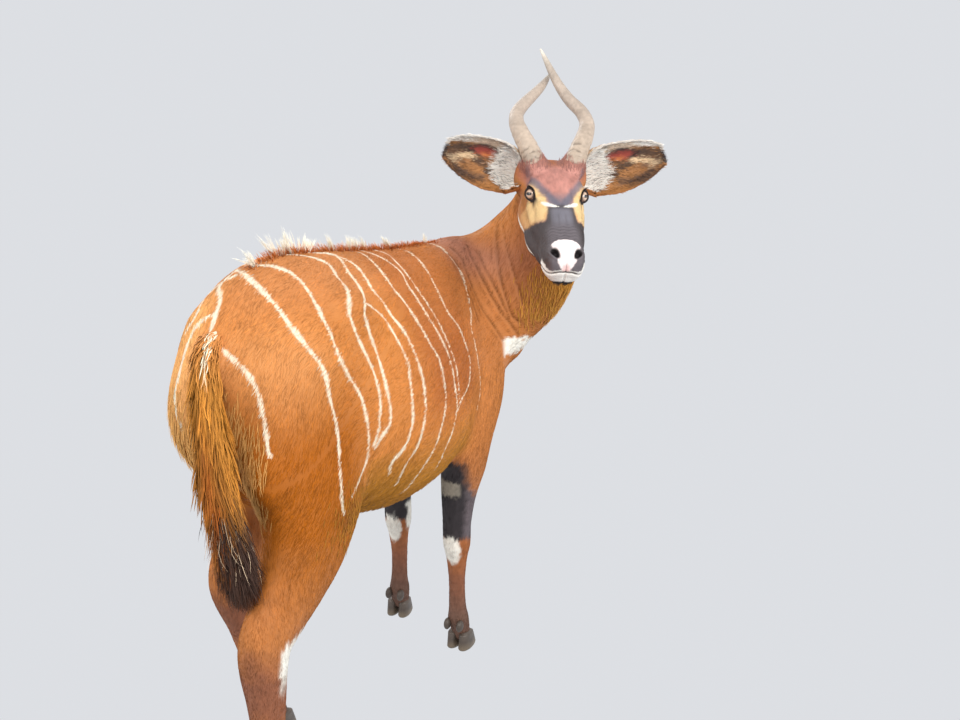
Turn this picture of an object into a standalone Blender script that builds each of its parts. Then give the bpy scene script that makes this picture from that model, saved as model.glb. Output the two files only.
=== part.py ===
"""A life-size standing bongo antelope with its head turned back over its right side.
The animal faces -Y, its left is +X and up is +Z."""
import math

import bmesh
import bpy
import numpy as np

# Overall sizes in metres
GAP = 0.0005
EAR_GAP = 0.0015
VOXEL = 0.008
LEG_CUT = 0.512
TRUNK_FACES = 2400
LEG_FACES = 3650
HEAD_FACES = 8100
SHIFT = (0.1643, 0.0307, 0.0)

# Stations of the trunk: place forward, top, bottom, half width
TRUNK = [
    (-0.578, 0.950, 0.870, 0.035),
    (-0.564, 1.015, 0.800, 0.090),
    (-0.525, 1.085, 0.740, 0.132),
    (-0.450, 1.152, 0.680, 0.170),
    (-0.350, 1.178, 0.620, 0.188),
    (-0.200, 1.175, 0.575, 0.200),
    (-0.020, 1.164, 0.534, 0.220),
    (0.150, 1.155, 0.530, 0.212),
    (0.290, 1.155, 0.548, 0.188),
    (0.400, 1.150, 0.585, 0.168),
    (0.500, 1.115, 0.625, 0.150),
    (0.590, 1.030, 0.680, 0.125),
    (0.645, 0.940, 0.750, 0.080),
    (0.662, 0.880, 0.810, 0.035),
]
# Stations of the neck: forward, left, up, half width, half depth, turn of the neck in degrees
NECK = [
    (0.300, 0.000, 0.930, 0.110, 0.180, 0),
    (0.420, -0.010, 0.955, 0.125, 0.202, 5),
    (0.520, -0.060, 0.980, 0.122, 0.200, 20),
    (0.575, -0.130, 1.035, 0.112, 0.182, 42),
    (0.578, -0.192, 1.110, 0.100, 0.152, 70),
    (0.560, -0.236, 1.195, 0.092, 0.124, 100),
    (0.525, -0.262, 1.262, 0.084, 0.098, 125),
    (0.475, -0.295, 1.280, 0.074, 0.080, 145),
    (0.430, -0.310, 1.283, 0.060, 0.060, 150),
]
# Stations of a leg: rear line, front line, left, up, half width
FORE = [
    (0.310, 0.470, 0.085, 0.980, 0.045),
    (0.330, 0.550, 0.112, 0.880, 0.062),
    (0.310, 0.545, 0.126, 0.770, 0.068),
    (0.262, 0.460, 0.134, 0.665, 0.066),
    (0.270, 0.424, 0.130, 0.575, 0.061),
    (0.298, 0.412, 0.117, 0.490, 0.049),
    (0.324, 0.410, 0.109, 0.405, 0.041),
    (0.334, 0.418, 0.107, 0.335, 0.039),
    (0.352, 0.413, 0.106, 0.290, 0.031),
    (0.370, 0.421, 0.103, 0.220, 0.025),
    (0.384, 0.438, 0.101, 0.140, 0.026),
    (0.388, 0.456, 0.100, 0.098, 0.031),
    (0.412, 0.468, 0.100, 0.062, 0.029),
    (0.426, 0.478, 0.100, 0.030, 0.026),
]
HIND = [
    (-0.490, -0.270, 0.070, 1.040, 0.055),
    (-0.560, -0.215, 0.098, 0.930, 0.078),
    (-0.580, -0.195, 0.108, 0.820, 0.086),
    (-0.578, -0.210, 0.120, 0.710, 0.082),
    (-0.566, -0.285, 0.130, 0.620, 0.070),
    (-0.576, -0.372, 0.132, 0.550, 0.060),
    (-0.600, -0.436, 0.130, 0.500, 0.051),
    (-0.632, -0.484, 0.128, 0.455, 0.046),
    (-0.624, -0.506, 0.127, 0.405, 0.045),
    (-0.604, -0.508, 0.126, 0.340, 0.039),
    (-0.586, -0.506, 0.126, 0.250, 0.032),
    (-0.571, -0.497, 0.126, 0.160, 0.030),
    (-0.566, -0.488, 0.126, 0.102, 0.034),
    (-0.542, -0.480, 0.126, 0.062, 0.031),
    (-0.528, -0.470, 0.126, 0.030, 0.028),
]
# How far each leg is swung from the pattern at the hoof: forward and outward
SWING = {"fore_right": (0.0, 0.0), "fore_left": (0.11, 0.060),
         "hind_right": (0.0, 0.0), "hind_left": (0.345, -0.02)}
# Stations of the tail and of the crest of hair: forward, left, up, half width, half depth
TAIL = [
    (-0.545, 0.000, 1.035, 0.026, 0.024),
    (-0.583, -0.012, 1.012, 0.028, 0.025),
    (-0.606, -0.028, 0.945, 0.031, 0.026),
    (-0.616, -0.046, 0.860, 0.036, 0.027),
    (-0.620, -0.056, 0.790, 0.040, 0.028),
    (-0.622, -0.070, 0.720, 0.036, 0.030),
    (-0.616, -0.078, 0.650, 0.033, 0.030),
    (-0.604, -0.078, 0.590, 0.022, 0.022),
    (-0.594, -0.074, 0.535, 0.004, 0.004),
]
CREST = [
    (0.400, 0.000, 1.140, 0.006, 0.018),
    (0.330, 0.000, 1.148, 0.010, 0.034),
    (0.160, 0.000, 1.156, 0.012, 0.042),
    (-0.020, 0.000, 1.164, 0.013, 0.046),
    (-0.200, 0.000, 1.175, 0.013, 0.048),
    (-0.340, 0.000, 1.172, 0.012, 0.044),
    (-0.440, 0.000, 1.138, 0.010, 0.036),
    (-0.520, 0.000, 1.050, 0.007, 0.024),
]

# The head: place between the eyes, and the directions of its right, nose and crown
HEAD_AT = np.array([-0.333, -0.388, 1.290])
FACE = np.array([-0.413, 0.742, -0.528])
RIGHT = np.array([0.872, 0.489, 0.006])


def unit(v):
    return v / np.linalg.norm(v)


FACE = unit(FACE)
RIGHT = unit(RIGHT - FACE * (RIGHT @ FACE))
CROWN = np.cross(RIGHT, FACE)
# Stations of the skull: place along the face, top, bottom, half width
SKULL = [
    (-0.165, -0.008, -0.060, 0.040),
    (-0.152, 0.004, -0.090, 0.056),
    (-0.120, 0.022, -0.118, 0.066),
    (-0.070, 0.036, -0.132, 0.071),
    (-0.020, 0.039, -0.136, 0.073),
    (0.030, 0.033, -0.132, 0.071),
    (0.080, 0.023, -0.124, 0.065),
    (0.130, 0.016, -0.113, 0.058),
    (0.175, 0.012, -0.104, 0.052),
    (0.212, 0.007, -0.099, 0.050),
    (0.238, -0.004, -0.091, 0.043),
    (0.252, -0.020, -0.078, 0.029),
]
EYE_SIDE = 0.0590
EYE_AHEAD = 0.004
EYE_RADIUS = 0.0190


def place(f, l, u):
    return np.array([l, -f, u])


def head_point(r, a, h):
    return HEAD_AT + RIGHT * r + FACE * a + CROWN * h


# Smooth curves and closed surfaces
def smooth_rows(rows, count):
    """Rows of numbers joined by a smooth curve and read at evenly spaced places."""
    rows = np.array(rows, float)
    k = np.linspace(0, len(rows) - 1, count)
    i = np.clip(k.astype(int), 0, len(rows) - 2)
    t = (k - i)[:, None]
    p = np.vstack([2 * rows[0] - rows[1], rows, 2 * rows[-1] - rows[-2]])
    a, b, c, d = p[i], p[i + 1], p[i + 2], p[i + 3]
    return 0.5 * (2 * b + (c - a) * t + (2 * a - 5 * b + 4 * c - d) * t ** 2
                  + (3 * b - a - 3 * c + d) * t ** 3)


def skin_rings(rings):
    """Vertices and faces of a closed surface through rings of points."""
    count, around = rings.shape[0], rings.shape[1]
    verts = [tuple(p) for p in rings.reshape(-1, 3)]
    faces = []
    for i in range(count - 1):
        for j in range(around):
            k = (j + 1) % around
            faces.append((i * around + j, i * around + k, (i + 1) * around + k, (i + 1) * around + j))
    for ring, first in ((rings[0], 0), (rings[-1], (count - 1) * around)):
        verts.append(tuple(ring.mean(0)))
        hub = len(verts) - 1
        for j in range(around):
            faces.append((first + j, first + (j + 1) % around, hub))
    return verts, faces


def rings_along(centre, side, wide, high, low, egg, around):
    """Rings square to a path; egg narrows their upper side."""
    tangent = np.gradient(centre, axis=0)
    tangent /= np.linalg.norm(tangent, axis=1)[:, None]
    side = np.broadcast_to(np.array(side, float), centre.shape)
    side = side - tangent * (tangent * side).sum(1)[:, None]
    side /= np.linalg.norm(side, axis=1)[:, None]
    up = np.cross(tangent, side)
    t = np.linspace(0, 2 * math.pi, around, endpoint=False)
    c, s = np.cos(t), np.sin(t)
    rise = np.where(s[None] > 0, high[:, None], low[:, None]) * s[None]
    reach = wide[:, None] * (c * (1 - egg * s))[None]
    return centre[:, None] + side[:, None] * reach[..., None] + up[:, None] * rise[..., None]


def limb(rows, egg=0.0, around=28, steps=6):
    """Rows: forward, left, up, half width, half depth, turn about the upright in degrees."""
    path = smooth_rows(rows, (len(rows) - 1) * steps + 1)
    centre = np.stack([path[:, 1], -path[:, 0], path[:, 2]], 1)
    turn = np.radians(path[:, 5])
    side = np.stack([np.cos(turn), -np.sin(turn), 0 * turn], 1)
    return skin_rings(rings_along(centre, side, path[:, 3], path[:, 4], path[:, 4], egg, around))


def barrel(rows, egg, around=40, steps=6):
    path = smooth_rows(rows, (len(rows) - 1) * steps + 1)
    mid = path[:, 1] * 0.45 + path[:, 2] * 0.55
    centre = np.stack([0 * mid, -path[:, 0], mid], 1)
    level = np.stack([0 * mid, -path[:, 0], 0 * mid], 1)
    rings = rings_along(level, (1, 0, 0), path[:, 3], path[:, 1] - mid, mid - path[:, 2], egg, around)
    return skin_rings(rings + (centre - level)[:, None])


def skull(rows, egg, around=36, steps=5):
    path = smooth_rows(rows, (len(rows) - 1) * steps + 1)
    mid = (path[:, 1] + path[:, 2]) / 2
    half = (path[:, 1] - path[:, 2]) / 2
    t = np.linspace(0, 2 * math.pi, around, endpoint=False)
    c, s = np.cos(t), np.sin(t)
    box = (np.abs(c) ** 2.6 + np.abs(s) ** 2.6) ** (-1 / 2.6)
    reach = path[:, 3][:, None] * (c * box * (1 + egg * s))[None]
    rise = mid[:, None] + half[:, None] * (s * box)[None]
    rings = (HEAD_AT + FACE * path[:, 0][:, None, None] + RIGHT * reach[..., None]
             + CROWN * rise[..., None])
    return skin_rings(rings)


def ball(centre, x, y, z, rows=10, around=18):
    """A rounded muscle given by its centre and its three half axes as vectors."""
    lat = np.linspace(-math.pi / 2, math.pi / 2, rows + 2)[1:-1]
    lon = np.linspace(0, 2 * math.pi, around, endpoint=False)
    c, s = np.cos(lat)[:, None, None], np.sin(lat)[:, None, None]
    rings = (np.array(centre) + np.array(x) * (c * np.cos(lon)[None, :, None])
             + np.array(y) * (c * np.sin(lon)[None, :, None]) + np.array(z) * s)
    verts, faces = skin_rings(rings)
    verts[-2] = tuple(np.array(centre) - np.array(z))
    verts[-1] = tuple(np.array(centre) + np.array(z))
    return verts, faces


def body_ball(f, l, u, rf, rl, ru, pitch=0.0):
    """A muscle with half axes forward, left and up, pitched nose down by some degrees."""
    c, s = math.cos(math.radians(pitch)), math.sin(math.radians(pitch))
    return ball(place(f, l, u), place(0, rl, 0), place(rf * c, 0, -rf * s), place(ru * s, 0, ru * c))


def head_ball(r, a, h, rr, ra, rh, pitch=0.0, rows=10, around=18):
    c, s = math.cos(math.radians(pitch)), math.sin(math.radians(pitch))
    return ball(head_point(r, a, h), RIGHT * rr, (FACE * c - CROWN * s) * ra, (FACE * s + CROWN * c) * rh,
                rows, around)


def leg_rows(kind):
    """The stations of one leg, mirrored and swung to its footing."""
    fore = kind.startswith("fore")
    side = -1 if kind.endswith("right") else 1
    pivot = 0.70 if fore else 1.00
    ahead, out = SWING[kind]
    rows = []
    for rear, front, l, u, w in (FORE if fore else HIND):
        k = min(max((pivot - u) / pivot, 0), 1)
        middle = (rear + front) / 2 + ahead * k ** (0.38 if fore else 0.65)
        sideways = (l + out * k ** (2.6 if fore else 1.0)) * side
        rows.append((middle, sideways, u, w, (front - rear) / 2, 0))
    return rows


# Objects
def new_object(name, verts, faces):
    mesh = bpy.data.meshes.new(name)
    mesh.from_pydata([tuple(float(c) for c in v) for v in verts], [], faces)
    obj = bpy.data.objects.new(name, mesh)
    bpy.context.scene.collection.objects.link(obj)
    tidy(obj)
    return obj


def tidy(obj):
    """Welds doubled points, drops slivers and turns every face outward."""
    bm = bmesh.new()
    bm.from_mesh(obj.data)
    bmesh.ops.remove_doubles(bm, verts=bm.verts, dist=0.00002)
    bmesh.ops.recalc_face_normals(bm, faces=bm.faces)
    bm.to_mesh(obj.data)
    bm.free()


def joined(name, shapes):
    verts, faces = [], []
    for v, f in shapes:
        base = len(verts)
        verts += list(v)
        faces += [tuple(i + base for i in face) for face in f]
    return new_object(name, verts, faces)


def settle(obj, modifier, **values):
    """Adds a modifier, sets it and makes its result the object's own mesh."""
    mod = obj.modifiers.new("work", modifier)
    for key, value in values.items():
        setattr(mod, key, value)
    graph = bpy.context.evaluated_depsgraph_get()
    mesh = bpy.data.meshes.new_from_object(obj.evaluated_get(graph))
    obj.modifiers.clear()
    old = obj.data
    obj.data = mesh
    bpy.data.meshes.remove(old)


def relax(obj, rounds, mask=None):
    """Evens the surface, by the mask's share at each vertex."""
    mesh = obj.data
    n = len(mesh.vertices)
    v = np.empty(n * 3)
    mesh.vertices.foreach_get("co", v)
    v = v.reshape(-1, 3)
    e = np.empty(len(mesh.edges) * 2, dtype=np.int64)
    mesh.edges.foreach_get("vertices", e)
    e = e.reshape(-1, 2)
    degree = np.bincount(e.ravel(), minlength=n)[:, None]
    share = 0.5 if mask is None else 0.5 * mask(v)[:, None]
    for _ in range(rounds):
        total = np.stack([np.bincount(e[:, 0], v[e[:, 1], k], n) + np.bincount(e[:, 1], v[e[:, 0], k], n)
                          for k in range(3)], 1)
        v = v + share * (total / degree - v)
    mesh.vertices.foreach_set("co", v.ravel())
    mesh.update()


def copy_of(obj, name):
    twin = bpy.data.objects.new(name, obj.data.copy())
    bpy.context.scene.collection.objects.link(twin)
    return twin


def drop(obj):
    bpy.data.objects.remove(obj)


def block(middle, axes, halves, name="cutter"):
    """A box given by its middle, its three directions and its half sizes."""
    axes = [unit(np.array(a, float)) for a in axes]
    verts = []
    for i in (-1, 1):
        for j in (-1, 1):
            for k in (-1, 1):
                verts.append(np.array(middle, float) + axes[0] * halves[0] * i
                             + axes[1] * halves[1] * j + axes[2] * halves[2] * k)
    faces = [(0, 1, 3, 2), (4, 5, 7, 6), (0, 1, 5, 4), (2, 3, 7, 6), (0, 2, 6, 4), (1, 3, 7, 5)]
    obj = new_object(name, verts, faces)
    obj.hide_render = True
    obj.display_type = "WIRE"
    return obj


def measure(obj):
    """The volume of a mesh and whether it is closed."""
    bm = bmesh.new()
    bm.from_mesh(obj.data)
    closed = all(len(edge.link_faces) == 2 for edge in bm.edges)
    volume = bm.calc_volume()
    bm.free()
    return volume, closed


def cut(obj, cutter, operation="DIFFERENCE"):
    """A boolean cut; the second solver is used only where the first leaves an open mesh."""
    before = obj.data.copy()
    full = measure(obj)[0]
    for solver in ("EXACT", "MANIFOLD"):
        settle(obj, "BOOLEAN", operation=operation, object=cutter, solver=solver)
        largest(obj)
        volume, closed = measure(obj)
        if closed and volume < full * 1.00001:
            break
        if solver == "EXACT":
            obj.data = before.copy()


def largest(obj):
    """Keeps the largest piece whose faces join along edges."""
    bm = bmesh.new()
    bm.from_mesh(obj.data)
    bmesh.ops.remove_doubles(bm, verts=bm.verts, dist=0.00002)
    seen, groups = set(), []
    for start in bm.faces:
        if start in seen:
            continue
        stack, group = [start], []
        seen.add(start)
        while stack:
            face = stack.pop()
            group.append(face)
            for edge in face.edges:
                for other in edge.link_faces:
                    if other not in seen:
                        seen.add(other)
                        stack.append(other)
        groups.append(group)
    groups.sort(key=lambda g: sum(f.calc_area() for f in g), reverse=True)
    spare = [face for group in groups[1:] for face in group]
    if spare:
        bmesh.ops.delete(bm, geom=spare, context="FACES")
    bm.to_mesh(obj.data)
    bm.free()


def triangles(obj):
    return sum(len(p.vertices) - 2 for p in obj.data.polygons)


def mend(obj):
    """Takes out faces at edges that more or fewer than two faces share, and fills the holes."""
    bm = bmesh.new()
    bm.from_mesh(obj.data)
    for _ in range(4):
        bad = [edge for edge in bm.edges if len(edge.link_faces) != 2]
        if not bad:
            break
        faces = {face for edge in bad for vert in edge.verts for face in vert.link_faces}
        bmesh.ops.delete(bm, geom=list(faces), context="FACES")
        loose = [edge for edge in bm.edges if not edge.link_faces]
        bmesh.ops.delete(bm, geom=loose, context="EDGES")
        rim = [edge for edge in bm.edges if len(edge.link_faces) == 1]
        bmesh.ops.holes_fill(bm, edges=rim, sides=0)
    bmesh.ops.triangulate(bm, faces=[face for face in bm.faces if len(face.verts) > 4])
    bm.to_mesh(obj.data)
    bm.free()


def thin_out(obj, target):
    """Fewer faces, with a slightly other count where the result would not be closed."""
    fine = obj.data.copy()
    count = triangles(obj)
    for extra in range(8):
        settle(obj, "DECIMATE", ratio=target * (1 + 0.04 * extra) / count)
        mend(obj)
        if measure(obj)[1]:
            break
        obj.data = fine.copy()


def socket(host, plug, grow=GAP):
    """Cuts room for one object out of another, with a thin gap all round."""
    tool = copy_of(plug, "cutter")
    mesh = tool.data
    n = len(mesh.vertices)
    v = np.empty(n * 3)
    mesh.vertices.foreach_get("co", v)
    normals = np.array([tuple(x.normal) for x in mesh.vertices])
    mesh.vertices.foreach_set("co", (v.reshape(-1, 3) + normals * grow).ravel())
    mesh.update()
    cut(host, tool)
    drop(tool)


# The living shape
def body_shapes():
    shapes = [barrel(TRUNK, 0.16), limb(NECK, 0.12)]
    for kind in SWING:
        shapes.append(limb(leg_rows(kind)))
    for s in (-1, 1):
        shapes += [
            body_ball(0.360, 0.092 * s, 0.920, 0.110, 0.062, 0.150, -20),
            body_ball(0.450, 0.095 * s, 0.790, 0.110, 0.070, 0.120, 20),
            body_ball(0.290, 0.120 * s, 0.720, 0.090, 0.060, 0.090, 30),
            body_ball(-0.255, 0.110 * s, 1.035, 0.100, 0.054, 0.080),
            body_ball(-0.370, 0.105 * s, 0.950, 0.130, 0.080, 0.140),
            body_ball(-0.460, 0.062 * s, 1.020, 0.078, 0.060, 0.075),
            body_ball(-0.485 + (0.03 if s > 0 else 0), 0.070 * s, 0.870, 0.080, 0.066, 0.130, 6),
            body_ball(-0.300 + (0.09 if s > 0 else 0), 0.128 * s, 0.750, 0.085, 0.060, 0.120, -20),
        ]
    shapes.append(body_ball(0.560, -0.075, 0.850, 0.105, 0.090, 0.120))
    return shapes


def head_shapes():
    shapes = [skull(SKULL, 0.0)]
    for s in (-1, 1):
        shapes += [
            head_ball(0.050 * s, -0.012, 0.010, 0.028, 0.034, 0.028),
            head_ball(0.052 * s, -0.022, -0.084, 0.034, 0.080, 0.046),
            head_ball(0.047 * s, 0.060, -0.080, 0.031, 0.080, 0.036, 6),
            head_ball(0.050 * s, -0.090, 0.024, 0.033, 0.044, 0.038),
            head_ball(0.030 * s, 0.225, -0.022, 0.020, 0.028, 0.022),
            head_ball(0.034 * s, 0.195, -0.052, 0.020, 0.045, 0.026),
        ]
    return shapes


def bulk(v):
    """One over the trunk and neck, nothing over the head and the lower legs."""
    share = np.clip((v[:, 2] - 0.56) / 0.12, 0, 1)
    near = np.linalg.norm(v - (HEAD_AT + FACE * 0.05 - CROWN * 0.03), axis=1)
    return share * np.clip((near - 0.20) / 0.06, 0, 1)


def whole_body():
    body = joined("body", body_shapes() + head_shapes())
    settle(body, "REMESH", mode="VOXEL", voxel_size=VOXEL)
    relax(body, 3)
    relax(body, 36, bulk)
    return body


# Horns, ears, eyes, hooves and tail
# Stations of a horn: outward, along, raised toward the brow, radius
HORN_LEFT = [
    (0.044, -0.032, -0.008, 0.0270),
    (0.051, 0.008, 0.000, 0.0275),
    (0.066, 0.055, 0.004, 0.0250),
    (0.084, 0.100, 0.004, 0.0225),
    (0.092, 0.140, 0.000, 0.0195),
    (0.081, 0.180, -0.004, 0.0175),
    (0.053, 0.216, -0.004, 0.0158),
    (0.030, 0.252, 0.000, 0.0135),
    (0.009, 0.292, 0.008, 0.0105),
    (-0.008, 0.330, 0.016, 0.0070),
    (-0.022, 0.362, 0.022, 0.0026),
]
HORN_RIGHT = HORN_LEFT[:7] + [
    (0.029, 0.250, -0.010, 0.0128),
    (0.010, 0.282, -0.018, 0.0095),
    (-0.002, 0.306, -0.024, 0.0060),
    (-0.010, 0.324, -0.028, 0.0024),
]
HORN_AT = (-0.078, 0.030)
HORN_RISE = math.radians(20)
# The ear: place along the face, tilt of its opening, root and tip, and rim offsets by place
EAR_AT = -0.100
EAR_TILT = math.radians(30)
EAR_ROOT = (0.052, -0.016)
EAR_TIP = {-1: (0.292, 0.065), 1: (0.281, 0.055)}
EAR_UPPER = [0.018, 0.026, 0.042, 0.056, 0.060, 0.059, 0.055, 0.048, 0.038, 0.027, 0.010]
EAR_LOWER = [0.024, 0.042, 0.055, 0.064, 0.068, 0.067, 0.062, 0.054, 0.043, 0.029, 0.010]
EAR_DEPTH = [0.040, 0.046, 0.048, 0.046, 0.042, 0.038, 0.034, 0.029, 0.023, 0.016, 0.006]
EAR_WALL = 0.0055
TOE_LENGTH = 0.088
TOE_WIDTH = 0.034
TOE_HEIGHT = 0.052
DEWCLAW = 0.013


def horn(name, rows, side, around=10, count=19):
    along = CROWN * math.sin(HORN_RISE) - FACE * math.cos(HORN_RISE)
    brow = CROWN * math.cos(HORN_RISE) + FACE * math.sin(HORN_RISE)
    base = HEAD_AT + FACE * HORN_AT[0] + CROWN * HORN_AT[1]
    path = smooth_rows(rows, count)
    centre = (base + RIGHT * path[:, :1] * side + along * path[:, 1:2] + brow * path[:, 2:3])
    rings = rings_along(centre, RIGHT, path[:, 3], path[:, 3], path[:, 3], 0.0, around)
    return new_object(name, *skin_rings(rings))


def ear_sheet(side, along_count, across):
    """The ear's back as a grid of points and the way from it into the cup."""
    spots = np.linspace(0, 1, along_count)
    knots = np.linspace(0, 1, len(EAR_UPPER))
    upper = np.interp(spots, knots, EAR_UPPER)
    lower = np.interp(spots, knots, EAR_LOWER)
    depth = np.interp(spots, knots, EAR_DEPTH)
    facing = FACE * math.cos(EAR_TILT) + CROWN * math.sin(EAR_TILT)
    rise = CROWN * math.cos(EAR_TILT) - FACE * math.sin(EAR_TILT)
    root, tip = np.array(EAR_ROOT), np.array(EAR_TIP[side])
    axis = unit(tip - root)
    across_axis = np.array([-axis[1], axis[0]])
    wrap = np.radians(np.interp(spots, [0, 0.35, 1], [150, 100, 62]))
    grid = np.zeros((along_count, across, 3))
    for j in range(across):
        a = wrap * (2 * j / (across - 1) - 1)
        reach = (upper - lower) / 2 + (upper + lower) / 2 * np.sin(a) / np.maximum(np.sin(wrap), 0.85)
        back = -depth * (np.cos(a) - np.cos(wrap)) / (1 - np.cos(wrap))
        flat = root + (tip - root) * spots[:, None] + across_axis * reach[:, None]
        grid[:, j] = (HEAD_AT + FACE * EAR_AT + RIGHT * side * flat[:, :1] + rise * flat[:, 1:]
                      + facing * back[:, None])
    du = np.gradient(grid, axis=0)
    dv = np.gradient(grid, axis=1)
    inward = np.cross(du, dv) * -side
    inward /= np.linalg.norm(inward, axis=2)[..., None]
    return grid, inward


def ear(name, side, along_count=10, across=9):
    """A leaf-shaped cup that opens forward, closed round its root."""
    outer, inward = ear_sheet(side, along_count, across)
    wall = np.full((along_count, across, 1), EAR_WALL)
    wall[:, (0, -1)] *= 0.6
    wall[-1] *= 0.6
    inner = outer + inward * wall
    verts = list(outer.reshape(-1, 3)) + list(inner.reshape(-1, 3))
    n = along_count * across
    faces = []
    for i in range(along_count - 1):
        for j in range(across - 1):
            p = i * across + j
            faces.append((p, p + 1, p + across + 1, p + across))
            faces.append((n + p, n + p + across, n + p + across + 1, n + p + 1))
    rim = [i * across for i in range(along_count)]
    rim += [(along_count - 1) * across + j for j in range(1, across)]
    rim += [i * across + across - 1 for i in range(along_count - 2, -1, -1)]
    rim += [j for j in range(across - 2, 0, -1)]
    for k, p in enumerate(rim):
        q = rim[(k + 1) % len(rim)]
        faces.append((p, q, n + q, n + p))
    return new_object(name, verts, faces)


def eye(name, side):
    centre = head_point(EYE_SIDE * side, EYE_AHEAD, 0.0)
    return new_object(name, *ball(centre, RIGHT * EYE_RADIUS, FACE * EYE_RADIUS, CROWN * EYE_RADIUS, 6, 12))


def toe_rings(levels=3, around=12):
    """One claw, its inner wall at zero, toe forward, with a flat sole and a flat top."""
    rings = []
    for i in range(levels):
        t = i / (levels - 1)
        back = -0.040 + 0.004 * t
        front = TOE_LENGTH - 0.040 - 0.026 * t
        half = TOE_WIDTH / 2 * (1 - 0.10 * t)
        ring = []
        for j in range(around):
            a = 2 * math.pi * j / around
            c, s = math.cos(a), math.sin(a)
            x = (front + back) / 2 + (front - back) / 2 * math.copysign(abs(c) ** 0.9, c)
            taper = 1 - 0.42 * max(0, (x - back) / (front - back) - 0.35)
            y = TOE_WIDTH / 2 * 1.04 + half * taper * math.copysign(abs(s) ** 0.8, s)
            ring.append((x, y, TOE_HEIGHT * t))
        rings.append(ring)
    return np.array(rings)


def toe(name, f, l, side, toe_out):
    """A claw set on the floor below the end of a leg."""
    c, s = math.cos(toe_out), math.sin(toe_out)
    points = toe_rings()
    x, y, z = points[..., 0], points[..., 1] * side, points[..., 2]
    return new_object(name, *skin_rings(np.stack([l + y * c + x * s, -(f + x * c - y * s), z], -1)))


def leg_end(kind):
    rows = leg_rows(kind)
    return rows[-1][0], rows[-1][1]


def dewclaw(name, kind, side):
    """A small claw at the back of the fetlock."""
    row = leg_rows(kind)[-3]
    f, l, u, w, d, _ = row
    middle = place(f - d * 0.86, l + side * 0.019, u - 0.012)
    return new_object(name, *ball(middle, place(DEWCLAW * 1.1, 0, -0.004), place(0, DEWCLAW * 0.72, 0),
                                  place(0.004, 0, DEWCLAW * 1.25), 3, 8))


FEET = {"fore_right": -0.06, "fore_left": 0.10, "hind_right": -0.08, "hind_left": 0.02}


# Cuts between the parts of the body
HEAD_CUT = unit(FACE * 0.84 + CROWN * 0.54)
HEAD_CUT_AT = head_point(0, -0.152, 0.020)
NECK_CUT = unit(place(0.80, -0.45, 0.40))
NECK_CUT_AT = place(0.46, 0.0, 1.16)


def head_region(grow):
    across = unit(np.cross(HEAD_CUT, RIGHT))
    middle = HEAD_CUT_AT + HEAD_CUT * (0.22 - grow) + across * (0.11 * np.sign(across @ -CROWN))
    return block(middle, (HEAD_CUT, RIGHT, across), (0.22, 0.14, 0.20))


def neck_region(grow):
    level = unit(np.cross(NECK_CUT, (0, 0, 1)))
    middle = NECK_CUT_AT + NECK_CUT * (0.40 - grow)
    return block(middle, (NECK_CUT, level, np.cross(NECK_CUT, level)), (0.40, 0.60, 0.60))


def leg_region(kind):
    middle = place(0.45 if kind.startswith("fore") else -0.45, -0.25 if kind.endswith("right") else 0.25,
                   LEG_CUT / 2 - 0.1 - GAP)
    return block(middle, ((1, 0, 0), (0, 1, 0), (0, 0, 1)), (0.2499, 0.40, LEG_CUT / 2 + 0.1))


def carve(name, body, keep, drops):
    """A part of the body: what lies in one region and outside others."""
    part = copy_of(body, name)
    if keep:
        cut(part, keep, "INTERSECT")
    for cutter in drops:
        cut(part, cutter)
    return part


def thinned(body, target):
    twin = copy_of(body, "cutter")
    thin_out(twin, target)
    return twin


def material(obj, colour, rough):
    mat = bpy.data.materials.new(obj.name)
    mat.use_nodes = True
    shader = mat.node_tree.nodes["Principled BSDF"]
    shader.inputs["Base Color"].default_value = (*colour, 1)
    shader.inputs["Roughness"].default_value = rough
    obj.data.materials.clear()
    obj.data.materials.append(mat)


CHESTNUT = (0.45, 0.14, 0.035)
DARK = (0.06, 0.04, 0.035)
HORN_COLOUR = (0.38, 0.33, 0.26)
HOOF_COLOUR = (0.10, 0.085, 0.07)
EYE_COLOUR = (0.12, 0.07, 0.04)
EAR_COLOUR = (0.42, 0.22, 0.12)


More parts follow.
